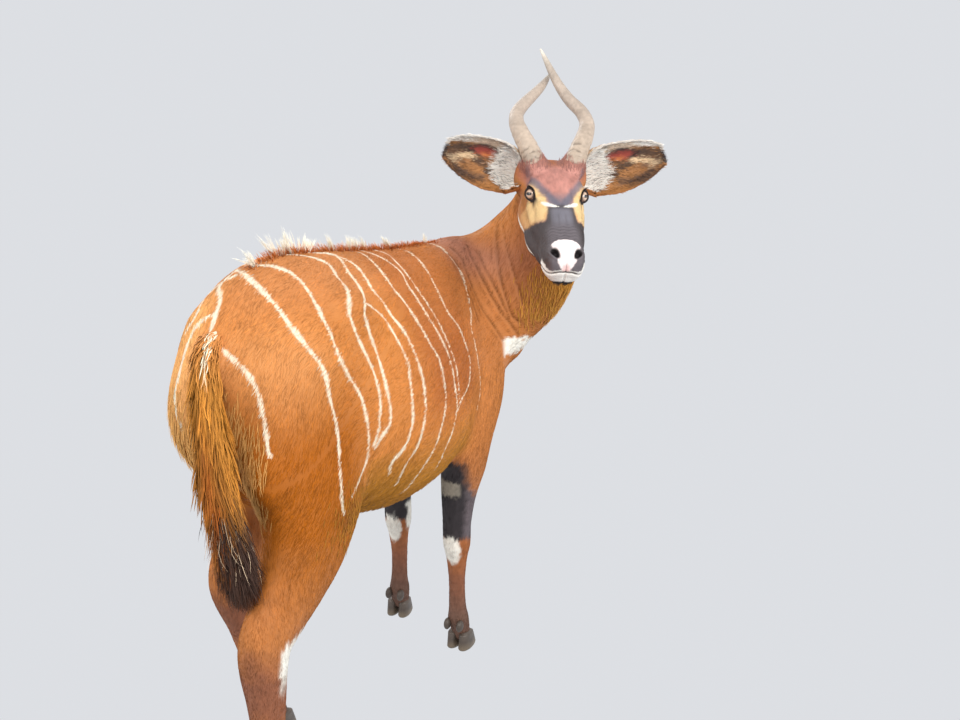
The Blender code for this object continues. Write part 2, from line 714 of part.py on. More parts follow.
def build():
    for obj in list(bpy.data.objects):
        bpy.data.objects.remove(obj)
    body = whole_body()
    nodes = {}

    # Horns, ears and eyes let into the head
    nodes["horn_left"] = horn("horn_left", HORN_LEFT, -1)
    nodes["horn_right"] = horn("horn_right", HORN_RIGHT, 1)
    nodes["ear_left"] = ear("ear_left", -1)
    nodes["ear_right"] = ear("ear_right", 1)
    nodes["eye_left"] = eye("eye_left", -1)
    nodes["eye_right"] = eye("eye_right", 1)

    # The trunk, neck and head
    rough, middling, fine = thinned(body, TRUNK_FACES), thinned(body, LEG_FACES), thinned(body, HEAD_FACES)
    outer, neck_outer = head_region(-GAP), neck_region(-GAP)
    inner, neck_inner = head_region(0.0), neck_region(0.0)
    below = block((0, 0, LEG_CUT - 0.30), ((1, 0, 0), (0, 1, 0), (0, 0, 1)), (0.6, 1.2, 0.30))
    head = carve("head", fine, outer, ())
    neck = carve("neck", rough, neck_outer, (inner,))
    trunk = carve("trunk", rough, None, (inner, neck_inner, below))
    nodes.update(head=head, neck=neck, trunk=trunk)
    for cutter in (outer, neck_outer, inner, neck_inner, below):
        drop(cutter)

    # Mouth, nostrils and the seats of the horns, ears and eyes
    slit = block(head_point(0, 0.235, -0.060), (RIGHT, FACE, CROWN), (0.09, 0.050, 0.0010))
    cut(head, slit)
    drop(slit)
    for side in (-1, 1):
        pit = new_object("cutter", *head_ball(0.029 * side, 0.252, -0.018, 0.0085, 0.016, 0.0065, 20, 4, 10))
        cut(head, pit)
        drop(pit)
        orbit = new_object("cutter", *head_ball(0.074 * side, EYE_AHEAD + 0.010, 0.0, 0.017, 0.021, 0.014,
                                                0, 4, 12))
        cut(head, orbit)
        drop(orbit)
    for name in ("horn_left", "horn_right", "ear_left", "ear_right", "eye_left", "eye_right"):
        socket(head, nodes[name], EAR_GAP if name.startswith("ear") else GAP)
        if name.startswith("ear"):
            socket(neck, nodes[name], EAR_GAP)

    # The legs, their claws and dewclaws
    for kind in SWING:
        box = leg_region(kind)
        floor = block((0, 0, TOE_HEIGHT + GAP - 0.2), ((1, 0, 0), (0, 1, 0), (0, 0, 1)), (0.6, 1.2, 0.2))
        leg = carve(f"leg_{kind}", middling, box, (floor,))
        drop(box)
        drop(floor)
        nodes[leg.name] = leg
        f, l = leg_end(kind)
        for side, word in ((-1, "outer"), (1, "inner")):
            word = word if kind.endswith("right") else {"outer": "inner", "inner": "outer"}[word]
            claw = toe(f"hoof_{kind}_{word}", f + 0.004, l, side, FEET[kind])
            nodes[claw.name] = claw
            spur = dewclaw(f"dewclaw_{kind}_{word}", kind, side)
            socket(leg, spur)
            nodes[spur.name] = spur

    # The tail and the crest of hair along the spine
    tail = new_object("tail", *limb([r + (0,) for r in TAIL], around=10, steps=2))
    crest = new_object("crest", *limb([r + (0,) for r in CREST], around=10, steps=2))
    socket(trunk, tail)
    socket(trunk, crest)
    nodes.update(tail=tail, crest=crest)

    for spare in (body, rough, middling, fine):
        drop(spare)
    for name, obj in nodes.items():
        obj.location = (0, 0, 0)
        mesh = obj.data
        for v in mesh.vertices:
            v.co.x += SHIFT[0]
            v.co.y += SHIFT[1]
            v.co.z += SHIFT[2]
        tidy(obj)
        colour, rough = CHESTNUT, 0.8
        if name.startswith("horn"):
            colour, rough = HORN_COLOUR, 0.5
        if name.startswith(("hoof", "dewclaw")):
            colour, rough = HOOF_COLOUR, 0.4
        if name.startswith("eye"):
            colour, rough = EYE_COLOUR, 0.1
        if name.startswith("ear"):
            colour = EAR_COLOUR
        material(obj, colour, rough)
        for poly in mesh.polygons:
            poly.use_smooth = True
    return nodes


build()
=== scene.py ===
"""A life-size standing bongo antelope: skin, coat, head, horns, hooves, light and camera.
The animal faces -Y, its left is +X and up is +Z; lengths are in metres."""
import math

import bmesh
import bpy
import numpy as np
from mathutils import Matrix, Vector
from mathutils.bvhtree import BVHTree


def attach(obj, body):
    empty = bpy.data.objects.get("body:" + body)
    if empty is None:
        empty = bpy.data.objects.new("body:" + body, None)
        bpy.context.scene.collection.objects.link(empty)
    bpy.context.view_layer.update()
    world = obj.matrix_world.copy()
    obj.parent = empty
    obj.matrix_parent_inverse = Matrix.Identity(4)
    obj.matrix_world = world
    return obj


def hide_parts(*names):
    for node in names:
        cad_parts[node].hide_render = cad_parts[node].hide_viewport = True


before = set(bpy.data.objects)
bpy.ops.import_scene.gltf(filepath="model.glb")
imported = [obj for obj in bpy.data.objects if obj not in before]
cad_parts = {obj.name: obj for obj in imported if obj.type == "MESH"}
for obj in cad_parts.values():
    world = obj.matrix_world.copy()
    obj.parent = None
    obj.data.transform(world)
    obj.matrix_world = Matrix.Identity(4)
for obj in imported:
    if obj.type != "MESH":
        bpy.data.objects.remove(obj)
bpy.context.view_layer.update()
DENSITY = 1.0
LONG_DENSITY = max(DENSITY, 0.5)
random = np.random.default_rng(11)

# The grain that the rounds of smoothing are meant for, and the figure's place in the shared frame
VOXEL = 0.008
SHIFT = (0.1643, 0.0307, 0.0)

# Stations of the trunk: place forward, top, bottom, half width
TRUNK = [
    (-0.578, 0.950, 0.870, 0.035),
    (-0.564, 1.015, 0.800, 0.090),
    (-0.525, 1.085, 0.740, 0.132),
    (-0.450, 1.152, 0.680, 0.170),
    (-0.350, 1.178, 0.620, 0.188),
    (-0.200, 1.175, 0.575, 0.200),
    (-0.020, 1.164, 0.534, 0.220),
    (0.150, 1.155, 0.530, 0.212),
    (0.290, 1.155, 0.548, 0.188),
    (0.400, 1.150, 0.585, 0.168),
    (0.500, 1.115, 0.625, 0.150),
    (0.590, 1.030, 0.680, 0.125),
    (0.645, 0.940, 0.750, 0.080),
    (0.662, 0.880, 0.810, 0.035),
]
# Stations of the neck: forward, left, up, half width, half depth, turn of the neck in degrees
NECK = [
    (0.300, 0.000, 0.930, 0.110, 0.180, 0),
    (0.420, -0.010, 0.955, 0.125, 0.202, 5),
    (0.520, -0.060, 0.980, 0.122, 0.200, 20),
    (0.575, -0.130, 1.035, 0.112, 0.182, 42),
    (0.578, -0.192, 1.110, 0.100, 0.152, 70),
    (0.560, -0.236, 1.195, 0.092, 0.124, 100),
    (0.525, -0.262, 1.262, 0.084, 0.098, 125),
    (0.475, -0.295, 1.280, 0.074, 0.080, 145),
    (0.430, -0.310, 1.283, 0.060, 0.060, 150),
]
# Stations of a leg: rear line, front line, left, up, half width
FORE = [
    (0.310, 0.470, 0.085, 0.980, 0.045),
    (0.330, 0.550, 0.112, 0.880, 0.062),
    (0.310, 0.545, 0.126, 0.770, 0.068),
    (0.262, 0.460, 0.134, 0.665, 0.066),
    (0.270, 0.424, 0.130, 0.575, 0.061),
    (0.298, 0.412, 0.117, 0.490, 0.049),
    (0.324, 0.410, 0.109, 0.405, 0.041),
    (0.334, 0.418, 0.107, 0.335, 0.039),
    (0.352, 0.413, 0.106, 0.290, 0.031),
    (0.370, 0.421, 0.103, 0.220, 0.025),
    (0.384, 0.438, 0.101, 0.140, 0.026),
    (0.388, 0.456, 0.100, 0.098, 0.031),
    (0.412, 0.468, 0.100, 0.062, 0.029),
    (0.426, 0.478, 0.100, 0.030, 0.026),
]
HIND = [
    (-0.490, -0.270, 0.070, 1.040, 0.055),
    (-0.560, -0.215, 0.098, 0.930, 0.078),
    (-0.580, -0.195, 0.108, 0.820, 0.086),
    (-0.578, -0.210, 0.120, 0.710, 0.082),
    (-0.566, -0.285, 0.130, 0.620, 0.070),
    (-0.576, -0.372, 0.132, 0.550, 0.060),
    (-0.600, -0.436, 0.130, 0.500, 0.051),
    (-0.632, -0.484, 0.128, 0.455, 0.046),
    (-0.624, -0.506, 0.127, 0.405, 0.045),
    (-0.604, -0.508, 0.126, 0.340, 0.039),
    (-0.586, -0.506, 0.126, 0.250, 0.032),
    (-0.571, -0.497, 0.126, 0.160, 0.030),
    (-0.566, -0.488, 0.126, 0.102, 0.034),
    (-0.542, -0.480, 0.126, 0.062, 0.031),
    (-0.528, -0.470, 0.126, 0.030, 0.028),
]
# How far each leg is swung from the pattern at the hoof: forward and outward
SWING = {"fore_right": (0.0, 0.0), "fore_left": (0.11, 0.060),
         "hind_right": (0.0, 0.0), "hind_left": (0.345, -0.02)}
# Stations of the tail: forward, left, up, half width, half depth
TAIL = [
    (-0.545, 0.000, 1.035, 0.026, 0.024),
    (-0.583, -0.012, 1.012, 0.028, 0.025),
    (-0.606, -0.028, 0.945, 0.031, 0.026),
    (-0.616, -0.046, 0.860, 0.036, 0.027),
    (-0.620, -0.056, 0.790, 0.040, 0.028),
    (-0.622, -0.070, 0.720, 0.036, 0.030),
    (-0.616, -0.078, 0.650, 0.033, 0.030),
    (-0.604, -0.078, 0.590, 0.022, 0.022),
    (-0.594, -0.074, 0.535, 0.004, 0.004),
]

# The head: place between the eyes, and the directions of its right, nose and crown
HEAD_AT = np.array([-0.333, -0.388, 1.290])
FACE = np.array([-0.413, 0.742, -0.528])
RIGHT = np.array([0.872, 0.489, 0.006])


def unit(v):
    return v / np.linalg.norm(v)


FACE = unit(FACE)
RIGHT = unit(RIGHT - FACE * (RIGHT @ FACE))
CROWN = np.cross(RIGHT, FACE)
# Stations of the skull: place along the face, top, bottom, half width
SKULL = [
    (-0.165, -0.008, -0.060, 0.040),
    (-0.152, 0.004, -0.090, 0.056),
    (-0.120, 0.022, -0.118, 0.066),
    (-0.070, 0.036, -0.132, 0.071),
    (-0.020, 0.039, -0.136, 0.073),
    (0.030, 0.033, -0.132, 0.071),
    (0.080, 0.023, -0.124, 0.065),
    (0.130, 0.016, -0.113, 0.058),
    (0.175, 0.012, -0.104, 0.052),
    (0.212, 0.007, -0.099, 0.050),
    (0.238, -0.004, -0.091, 0.043),
    (0.252, -0.020, -0.078, 0.029),
]
SKULL_BOX = 2.6
# The eyes: place outward and along the face, and radius
EYE_SIDE = 0.0590
EYE_AHEAD = 0.004
EYE_RADIUS = 0.0190


def place(f, l, u):
    return np.array([l, -f, u])


def head_point(r, a, h):
    return HEAD_AT + RIGHT * r + FACE * a + CROWN * h


# Smooth curves and closed surfaces
def smooth_rows(rows, count):
    """Rows of numbers joined by a smooth curve and read at evenly spaced places."""
    rows = np.array(rows, float)
    k = np.linspace(0, len(rows) - 1, count)
    i = np.clip(k.astype(int), 0, len(rows) - 2)
    t = (k - i)[:, None]
    p = np.vstack([2 * rows[0] - rows[1], rows, 2 * rows[-1] - rows[-2]])
    a, b, c, d = p[i], p[i + 1], p[i + 2], p[i + 3]
    return 0.5 * (2 * b + (c - a) * t + (2 * a - 5 * b + 4 * c - d) * t ** 2
                  + (3 * b - a - 3 * c + d) * t ** 3)


def skin_rings(rings):
    """Vertices and faces of a closed surface through rings of points."""
    count, around = rings.shape[0], rings.shape[1]
    verts = [tuple(p) for p in rings.reshape(-1, 3)]
    faces = []
    for i in range(count - 1):
        for j in range(around):
            k = (j + 1) % around
            faces.append((i * around + j, i * around + k, (i + 1) * around + k, (i + 1) * around + j))
    for ring, first in ((rings[0], 0), (rings[-1], (count - 1) * around)):
        verts.append(tuple(ring.mean(0)))
        hub = len(verts) - 1
        for j in range(around):
            faces.append((first + j, first + (j + 1) % around, hub))
    return verts, faces


def rings_along(centre, side, wide, high, low, egg, around):
    """Rings square to a path; egg narrows their upper side."""
    tangent = np.gradient(centre, axis=0)
    tangent /= np.linalg.norm(tangent, axis=1)[:, None]
    side = np.broadcast_to(np.array(side, float), centre.shape)
    side = side - tangent * (tangent * side).sum(1)[:, None]
    side /= np.linalg.norm(side, axis=1)[:, None]
    up = np.cross(tangent, side)
    t = np.linspace(0, 2 * math.pi, around, endpoint=False)
    c, s = np.cos(t), np.sin(t)
    rise = np.where(s[None] > 0, high[:, None], low[:, None]) * s[None]
    reach = wide[:, None] * (c * (1 - egg * s))[None]
    return centre[:, None] + side[:, None] * reach[..., None] + up[:, None] * rise[..., None]


def limb(rows, egg=0.0, around=28, steps=6):
    """Rows: forward, left, up, half width, half depth, turn about the upright in degrees."""
    path = smooth_rows(rows, (len(rows) - 1) * steps + 1)
    centre = np.stack([path[:, 1], -path[:, 0], path[:, 2]], 1)
    turn = np.radians(path[:, 5])
    side = np.stack([np.cos(turn), -np.sin(turn), 0 * turn], 1)
    return skin_rings(rings_along(centre, side, path[:, 3], path[:, 4], path[:, 4], egg, around))


def barrel(rows, egg, around=40, steps=6):
    """The trunk as a closed surface between its top and bottom lines."""
    path = smooth_rows(rows, (len(rows) - 1) * steps + 1)
    mid = path[:, 1] * 0.45 + path[:, 2] * 0.55
    centre = np.stack([0 * mid, -path[:, 0], mid], 1)
    level = np.stack([0 * mid, -path[:, 0], 0 * mid], 1)
    rings = rings_along(level, (1, 0, 0), path[:, 3], path[:, 1] - mid, mid - path[:, 2], egg, around)
    return skin_rings(rings + (centre - level)[:, None])


def skull(rows, around=36, steps=5):
    """The skull as a closed surface with boxy rings."""
    path = smooth_rows(rows, (len(rows) - 1) * steps + 1)
    mid = (path[:, 1] + path[:, 2]) / 2
    half = (path[:, 1] - path[:, 2]) / 2
    t = np.linspace(0, 2 * math.pi, around, endpoint=False)
    c, s = np.cos(t), np.sin(t)
    box = (np.abs(c) ** SKULL_BOX + np.abs(s) ** SKULL_BOX) ** (-1 / SKULL_BOX)
    reach = path[:, 3][:, None] * (c * box)[None]
    rise = mid[:, None] + half[:, None] * (s * box)[None]
    rings = (HEAD_AT + FACE * path[:, 0][:, None, None] + RIGHT * reach[..., None]
             + CROWN * rise[..., None])
    return skin_rings(rings)


def ball(centre, x, y, z, rows=10, around=18):
    """A rounded muscle given by its centre and its three half axes as vectors."""
    lat = np.linspace(-math.pi / 2, math.pi / 2, rows + 2)[1:-1]
    lon = np.linspace(0, 2 * math.pi, around, endpoint=False)
    c, s = np.cos(lat)[:, None, None], np.sin(lat)[:, None, None]
    rings = (np.array(centre) + np.array(x) * (c * np.cos(lon)[None, :, None])
             + np.array(y) * (c * np.sin(lon)[None, :, None]) + np.array(z) * s)
    verts, faces = skin_rings(rings)
    verts[-2] = tuple(np.array(centre) - np.array(z))
    verts[-1] = tuple(np.array(centre) + np.array(z))
    return verts, faces


def body_ball(f, l, u, rf, rl, ru, pitch=0.0):
    """A muscle with half axes forward, left and up, pitched nose down by some degrees."""
    c, s = math.cos(math.radians(pitch)), math.sin(math.radians(pitch))
    return ball(place(f, l, u), place(0, rl, 0), place(rf * c, 0, -rf * s), place(ru * s, 0, ru * c))


def head_ball(r, a, h, rr, ra, rh, pitch=0.0):
    """A swelling of the head with half axes outward, along the face and toward the crown."""
    c, s = math.cos(math.radians(pitch)), math.sin(math.radians(pitch))
    return ball(head_point(r, a, h), RIGHT * rr, (FACE * c - CROWN * s) * ra, (FACE * s + CROWN * c) * rh)


def leg_rows(kind):
    """The stations of one leg, mirrored and swung to its footing."""
    fore = kind.startswith("fore")
    side = -1 if kind.endswith("right") else 1
    pivot = 0.70 if fore else 1.00
    ahead, out = SWING[kind]
    rows = []
    for rear, front, l, u, w in (FORE if fore else HIND):
        k = min(max((pivot - u) / pivot, 0), 1)
        middle = (rear + front) / 2 + ahead * k ** (0.38 if fore else 0.65)
        sideways = (l + out * k ** (2.6 if fore else 1.0)) * side
        rows.append((middle, sideways, u, w, (front - rear) / 2, 0))
    return rows


# The living shape
def body_shapes():
    shapes = [barrel(TRUNK, 0.16), limb(NECK, 0.12)]
    for kind in SWING:
        shapes.append(limb(leg_rows(kind)))
    for s in (-1, 1):
        shapes += [
            body_ball(0.360, 0.092 * s, 0.920, 0.110, 0.062, 0.150, -20),
            body_ball(0.450, 0.095 * s, 0.790, 0.110, 0.070, 0.120, 20),
            body_ball(0.290, 0.120 * s, 0.720, 0.090, 0.060, 0.090, 30),
            body_ball(-0.255, 0.110 * s, 1.035, 0.100, 0.054, 0.080),
            body_ball(-0.370, 0.105 * s, 0.950, 0.130, 0.080, 0.140),
            body_ball(-0.460, 0.062 * s, 1.020, 0.078, 0.060, 0.075),
            body_ball(-0.485 + (0.03 if s > 0 else 0), 0.070 * s, 0.870, 0.080, 0.066, 0.130, 6),
            body_ball(-0.300 + (0.09 if s > 0 else 0), 0.128 * s, 0.750, 0.085, 0.060, 0.120, -20),
        ]
    shapes.append(body_ball(0.560, -0.075, 0.850, 0.105, 0.090, 0.120))
    return shapes


def head_shapes():
    shapes = [skull(SKULL)]
    for s in (-1, 1):
        shapes += [
            head_ball(0.050 * s, -0.012, 0.010, 0.028, 0.034, 0.028),
            head_ball(0.052 * s, -0.022, -0.084, 0.034, 0.080, 0.046),
            head_ball(0.047 * s, 0.060, -0.080, 0.031, 0.080, 0.036, 6),
            head_ball(0.050 * s, -0.090, 0.024, 0.033, 0.044, 0.038),
            head_ball(0.030 * s, 0.225, -0.022, 0.020, 0.028, 0.022),
            head_ball(0.034 * s, 0.195, -0.052, 0.020, 0.045, 0.026),
        ]
    return shapes


def bulk(v):
    """One over the trunk and neck, nothing over the head and the lower legs."""
    share = np.clip((v[:, 2] - 0.56) / 0.12, 0, 1)
    near = np.linalg.norm(v - (HEAD_AT + FACE * 0.05 - CROWN * 0.03), axis=1)
    return share * np.clip((near - 0.20) / 0.06, 0, 1)


# Stations of a horn: outward, along, raised toward the brow, radius
HORN_LEFT = [
    (0.0485, -0.010, -0.022, 0.0140),
    (0.0505, 0.003, -0.009, 0.0240),
    (0.0520, 0.014, 0.000, 0.0272),
    (0.066, 0.055, 0.004, 0.0250),
    (0.084, 0.100, 0.004, 0.0225),
    (0.092, 0.140, 0.000, 0.0195),
    (0.081, 0.180, -0.004, 0.0175),
    (0.053, 0.216, -0.004, 0.0158),
    (0.030, 0.252, 0.000, 0.0135),
    (0.009, 0.292, 0.008, 0.0105),
    (-0.008, 0.330, 0.016, 0.0070),
    (-0.022, 0.362, 0.022, 0.0026),
]
HORN_RIGHT = HORN_LEFT[:7] + [
    (0.029, 0.250, -0.010, 0.0128),
    (0.010, 0.282, -0.018, 0.0095),
    (-0.002, 0.306, -0.024, 0.0060),
    (-0.010, 0.324, -0.028, 0.0024),
]
HORN_AT = (-0.078, 0.030)
HORN_RISE = math.radians(20)
# The ear: place along the face, tilt of its opening, root and tip, and rim offsets by place
EAR_AT = -0.100
EAR_TILT = math.radians(30)
EAR_ROOT = (0.052, -0.016)
EAR_TIP = {-1: (0.276, 0.061), 1: (0.264, 0.050)}
EAR_UPPER = [0.018, 0.026, 0.042, 0.056, 0.061, 0.060, 0.057, 0.052, 0.046, 0.037, 0.022]
EAR_LOWER = [0.024, 0.042, 0.055, 0.064, 0.069, 0.071, 0.069, 0.064, 0.058, 0.048, 0.034]
EAR_DEPTH = [0.040, 0.046, 0.048, 0.046, 0.042, 0.038, 0.034, 0.029, 0.023, 0.016, 0.006]
EAR_WALL = 0.0055
# The hooves: a claw's length, width and height, and a dewclaw's half width
TOE_LENGTH = 0.088
TOE_WIDTH = 0.034
TOE_HEIGHT = 0.052
DEWCLAW = 0.013


def ear_wrap(spots):
    """Half the angle round which the ear's sheet is rolled, from root to tip."""
    return np.radians(np.interp(spots, [0, 0.35, 1], [150, 100, 62]))


def ear_sheet(side, along_count, across):
    """The ear's back as a grid of points and the way from it into the cup."""
    spots = np.linspace(0, 1, along_count)
    knots = np.linspace(0, 1, len(EAR_UPPER))
    upper = np.interp(spots, knots, EAR_UPPER)
    lower = np.interp(spots, knots, EAR_LOWER)
    depth = np.interp(spots, knots, EAR_DEPTH)
    facing = FACE * math.cos(EAR_TILT) + CROWN * math.sin(EAR_TILT)
    rise = CROWN * math.cos(EAR_TILT) - FACE * math.sin(EAR_TILT)
    root, tip = np.array(EAR_ROOT), np.array(EAR_TIP[side])
    axis = unit(tip - root)
    across_axis = np.array([-axis[1], axis[0]])
    wrap = ear_wrap(spots)
    grid = np.zeros((along_count, across, 3))
    for j in range(across):
        a = wrap * (2 * j / (across - 1) - 1)
        reach = (upper - lower) / 2 + (upper + lower) / 2 * np.sin(a) / np.maximum(np.sin(wrap), 0.85)
        back = -depth * (np.cos(a) - np.cos(wrap)) / (1 - np.cos(wrap))
        flat = root + (tip - root) * spots[:, None] + across_axis * reach[:, None]
        grid[:, j] = (HEAD_AT + FACE * EAR_AT + RIGHT * side * flat[:, :1] + rise * flat[:, 1:]
                      + facing * back[:, None])
    du = np.gradient(grid, axis=0)
    dv = np.gradient(grid, axis=1)
    inward = np.cross(du, dv) * -side
    inward /= np.linalg.norm(inward, axis=2)[..., None]
    return grid, inward


# How far each foot is turned outward, in radians
FEET = {"fore_right": -0.06, "fore_left": 0.10, "hind_right": -0.08, "hind_left": 0.02}


def smooth(x, low, high):
    """0 below low, 1 above high and an even slope between, or the other way round if low > high."""
    t = np.clip((x - low) / (high - low), 0, 1)
    return t * t * (3 - 2 * t)


def bell(x, middle, width):
    return np.exp(-((x - middle) / width) ** 2)


def mixed(a, b, share):
    return a + (b - a) * share[:, None]


def layered(colour, *layers):
    """The colour with each tint laid over it by its share."""
    for tint, share in layers:
        colour = mixed(colour, tint, share)
    return colour


def normalised(v):
    return v / np.maximum(np.linalg.norm(v, axis=-1, keepdims=True), 1e-9)


def tone(red, green, blue):
    """A colour as seen on a screen, from 0 to 255, turned into the light it stands for."""
    c = np.array([red, green, blue]) / 255
    return np.where(c > 0.04045, ((c + 0.055) / 1.055) ** 2.4, c / 12.92)


CELLS = 32


def lattice(seed):
    return np.random.default_rng(seed).random((CELLS, CELLS, CELLS))


def grain(p, size, seed):
    """Soft noise from 0 to 1 with lumps of that size."""
    table = lattice(seed)
    q = p / size + 100.0
    i = np.floor(q).astype(int)
    t = q - i
    t = t * t * (3 - 2 * t)
    total = np.zeros(len(p))
    for dx in (0, 1):
        for dy in (0, 1):
            for dz in (0, 1):
                value = table[(i[:, 0] + dx) % CELLS, (i[:, 1] + dy) % CELLS, (i[:, 2] + dz) % CELLS]
                share = (np.where(dx, t[:, 0], 1 - t[:, 0]) * np.where(dy, t[:, 1], 1 - t[:, 1])
                         * np.where(dz, t[:, 2], 1 - t[:, 2]))
                total += value * share
    return total


def off_path(x, y, points):
    """Distance in a plane from a line through points, and how far along the line that is."""
    best, along = np.full(len(x), 9.0), np.zeros(len(x))
    for i, ((ax, ay), (bx, by)) in enumerate(zip(points[:-1], points[1:])):
        dx, dy = bx - ax, by - ay
        t = np.clip(((x - ax) * dx + (y - ay) * dy) / (dx * dx + dy * dy), 0, 1)
        far = np.hypot(x - ax - dx * t, y - ay - dy * t)
        along = np.where(far < best, (i + t) / (len(points) - 1), along)
        best = np.minimum(best, far)
    return best, along


def square_to(n, way):
    """The directions n made square to the ways."""
    return normalised(n - way * (n * way).sum(1, keepdims=True))


def head_coords(p):
    q = p - HEAD_AT
    return np.stack([q @ RIGHT, q @ FACE, q @ CROWN], -1)


def from_head(q):
    """Places given in the head's own coordinates."""
    return HEAD_AT + q[..., :1] * RIGHT + q[..., 1:2] * FACE + q[..., 2:] * CROWN


def body_coords(p):
    return -p[:, 1], p[:, 0], p[:, 2]


# The skin's mesh, its depth under the coat's tips, and the eyes' gaze and half openings
SKIN_VOXEL = 0.0065
TAIL_CORE = 0.62
BODY_COAT = 0.0035
LEG_COAT = 0.0022
HEAD_COAT = 0.0018
BARE_COAT = 0.0003
EYE_GAZE = (0.66, 0.54, 0.46)
LID_CORNERS = (math.radians(55), math.radians(49))
LID_MIDDLES = (math.radians(39), math.radians(33))
LID_ROUND = 1.75

# Colours of the coat, by the part they are on
FLANK_TONE = tone(206, 130, 62)
TOP_TONE = tone(202, 132, 76)
RUMP_TONE = tone(208, 138, 76)
# painted light: the left side of the rump made lighter where light falls on it
LEFT_RUMP_LIT_TONE = tone(240, 172, 104)
# the lower rump and thigh darker: partly their own colour, partly painted shade on the lower side, which gets
# less light
THIGH_SHADED_TONE = tone(174, 96, 14)
SHANK_TONE = tone(172, 100, 34)
HOCK_TONE = tone(186, 116, 60)
SHOULDER_TONE = tone(190, 118, 62)
WITHERS_TONE = tone(182, 124, 98)
NECK_TONE = tone(164, 102, 60)
NAPE_TONE = tone(196, 126, 66)
THROAT_TONE = tone(182, 118, 34)
BELLY_TONE = tone(186, 124, 42)
# painted shade for the groin and under the tail
RECESS_SHADE_TONE = tone(84, 64, 30)
STRIPE_TONE = tone(244, 226, 200)
WHITE_TONE = tone(246, 242, 230)
BLACK_TONE = tone(52, 46, 48)
SLATE_DARK = tone(90, 90, 98)
PATCH_TONE = tone(160, 150, 134)
DARK_TONE = tone(66, 46, 34)
FORE_TONE = tone(184, 116, 66)
KNEE_TONE = tone(164, 98, 54)
CANNON_TONE = tone(140, 88, 62)
CANNON_LOW = tone(110, 80, 66)
HIND_GREY = tone(146, 90, 62)
FOREHEAD_TONE = tone(196, 138, 126)
BROW_TONE = tone(190, 118, 76)
JAW_TONE = tone(192, 130, 78)
SPOT_TONE = tone(232, 190, 132)
ARCH_TONE = tone(112, 108, 120)
# the top of the bridge a lighter grey: partly its own grey, partly painted sheen
BRIDGE_SHEEN_TONE = tone(130, 128, 138)
MUZZLE_TONE = tone(108, 101, 106)
MUZZLE_SIDE = tone(78, 71, 72)
CHEEK_TONE = tone(238, 204, 148)
CHEEK_LOW = tone(204, 148, 88)
FOREHEAD_LOW = tone(132, 120, 128)
LID_TONE = tone(44, 36, 36)
LIP_TONE = tone(232, 228, 222)
PAD_TONE = tone(250, 236, 234)
# painted shade: near black in the nostrils' hollows and dark in the mouth line where the lips meet
NOSTRIL_SHADE_TONE = tone(26, 20, 22)
MOUTH_SHADE_TONE = tone(60, 44, 44)
CHIN_TONE = tone(46, 40, 40)
PINK_TONE = tone(232, 190, 186)
EAR_WHITE = tone(250, 242, 232)
EAR_PIT = tone(160, 76, 66)
EAR_OCHRE = tone(182, 126, 74)
EAR_GLOW = tone(206, 128, 72)
EAR_DARK = tone(82, 68, 62)
EAR_CREAM = tone(236, 206, 166)
EAR_RIM = tone(64, 52, 50)
EAR_PALE = tone(232, 218, 192)
EAR_BACK = tone(206, 140, 84)
TAIL_TONE = tone(190, 126, 48)
TAIL_RED = tone(138, 72, 22)
TAIL_DARK = tone(56, 38, 30)
TAIL_PALE = tone(206, 180, 150)
CREST_WHITE = tone(250, 240, 222)
CREST_RED = tone(184, 108, 54)
SEAT_TONE = tone(222, 150, 76)
RIBS_TONE = tone(180, 104, 48)
SEAT_TIP = tone(240, 186, 112)
THROAT_TIP = tone(224, 160, 72)

MILLIMETRES = 1000
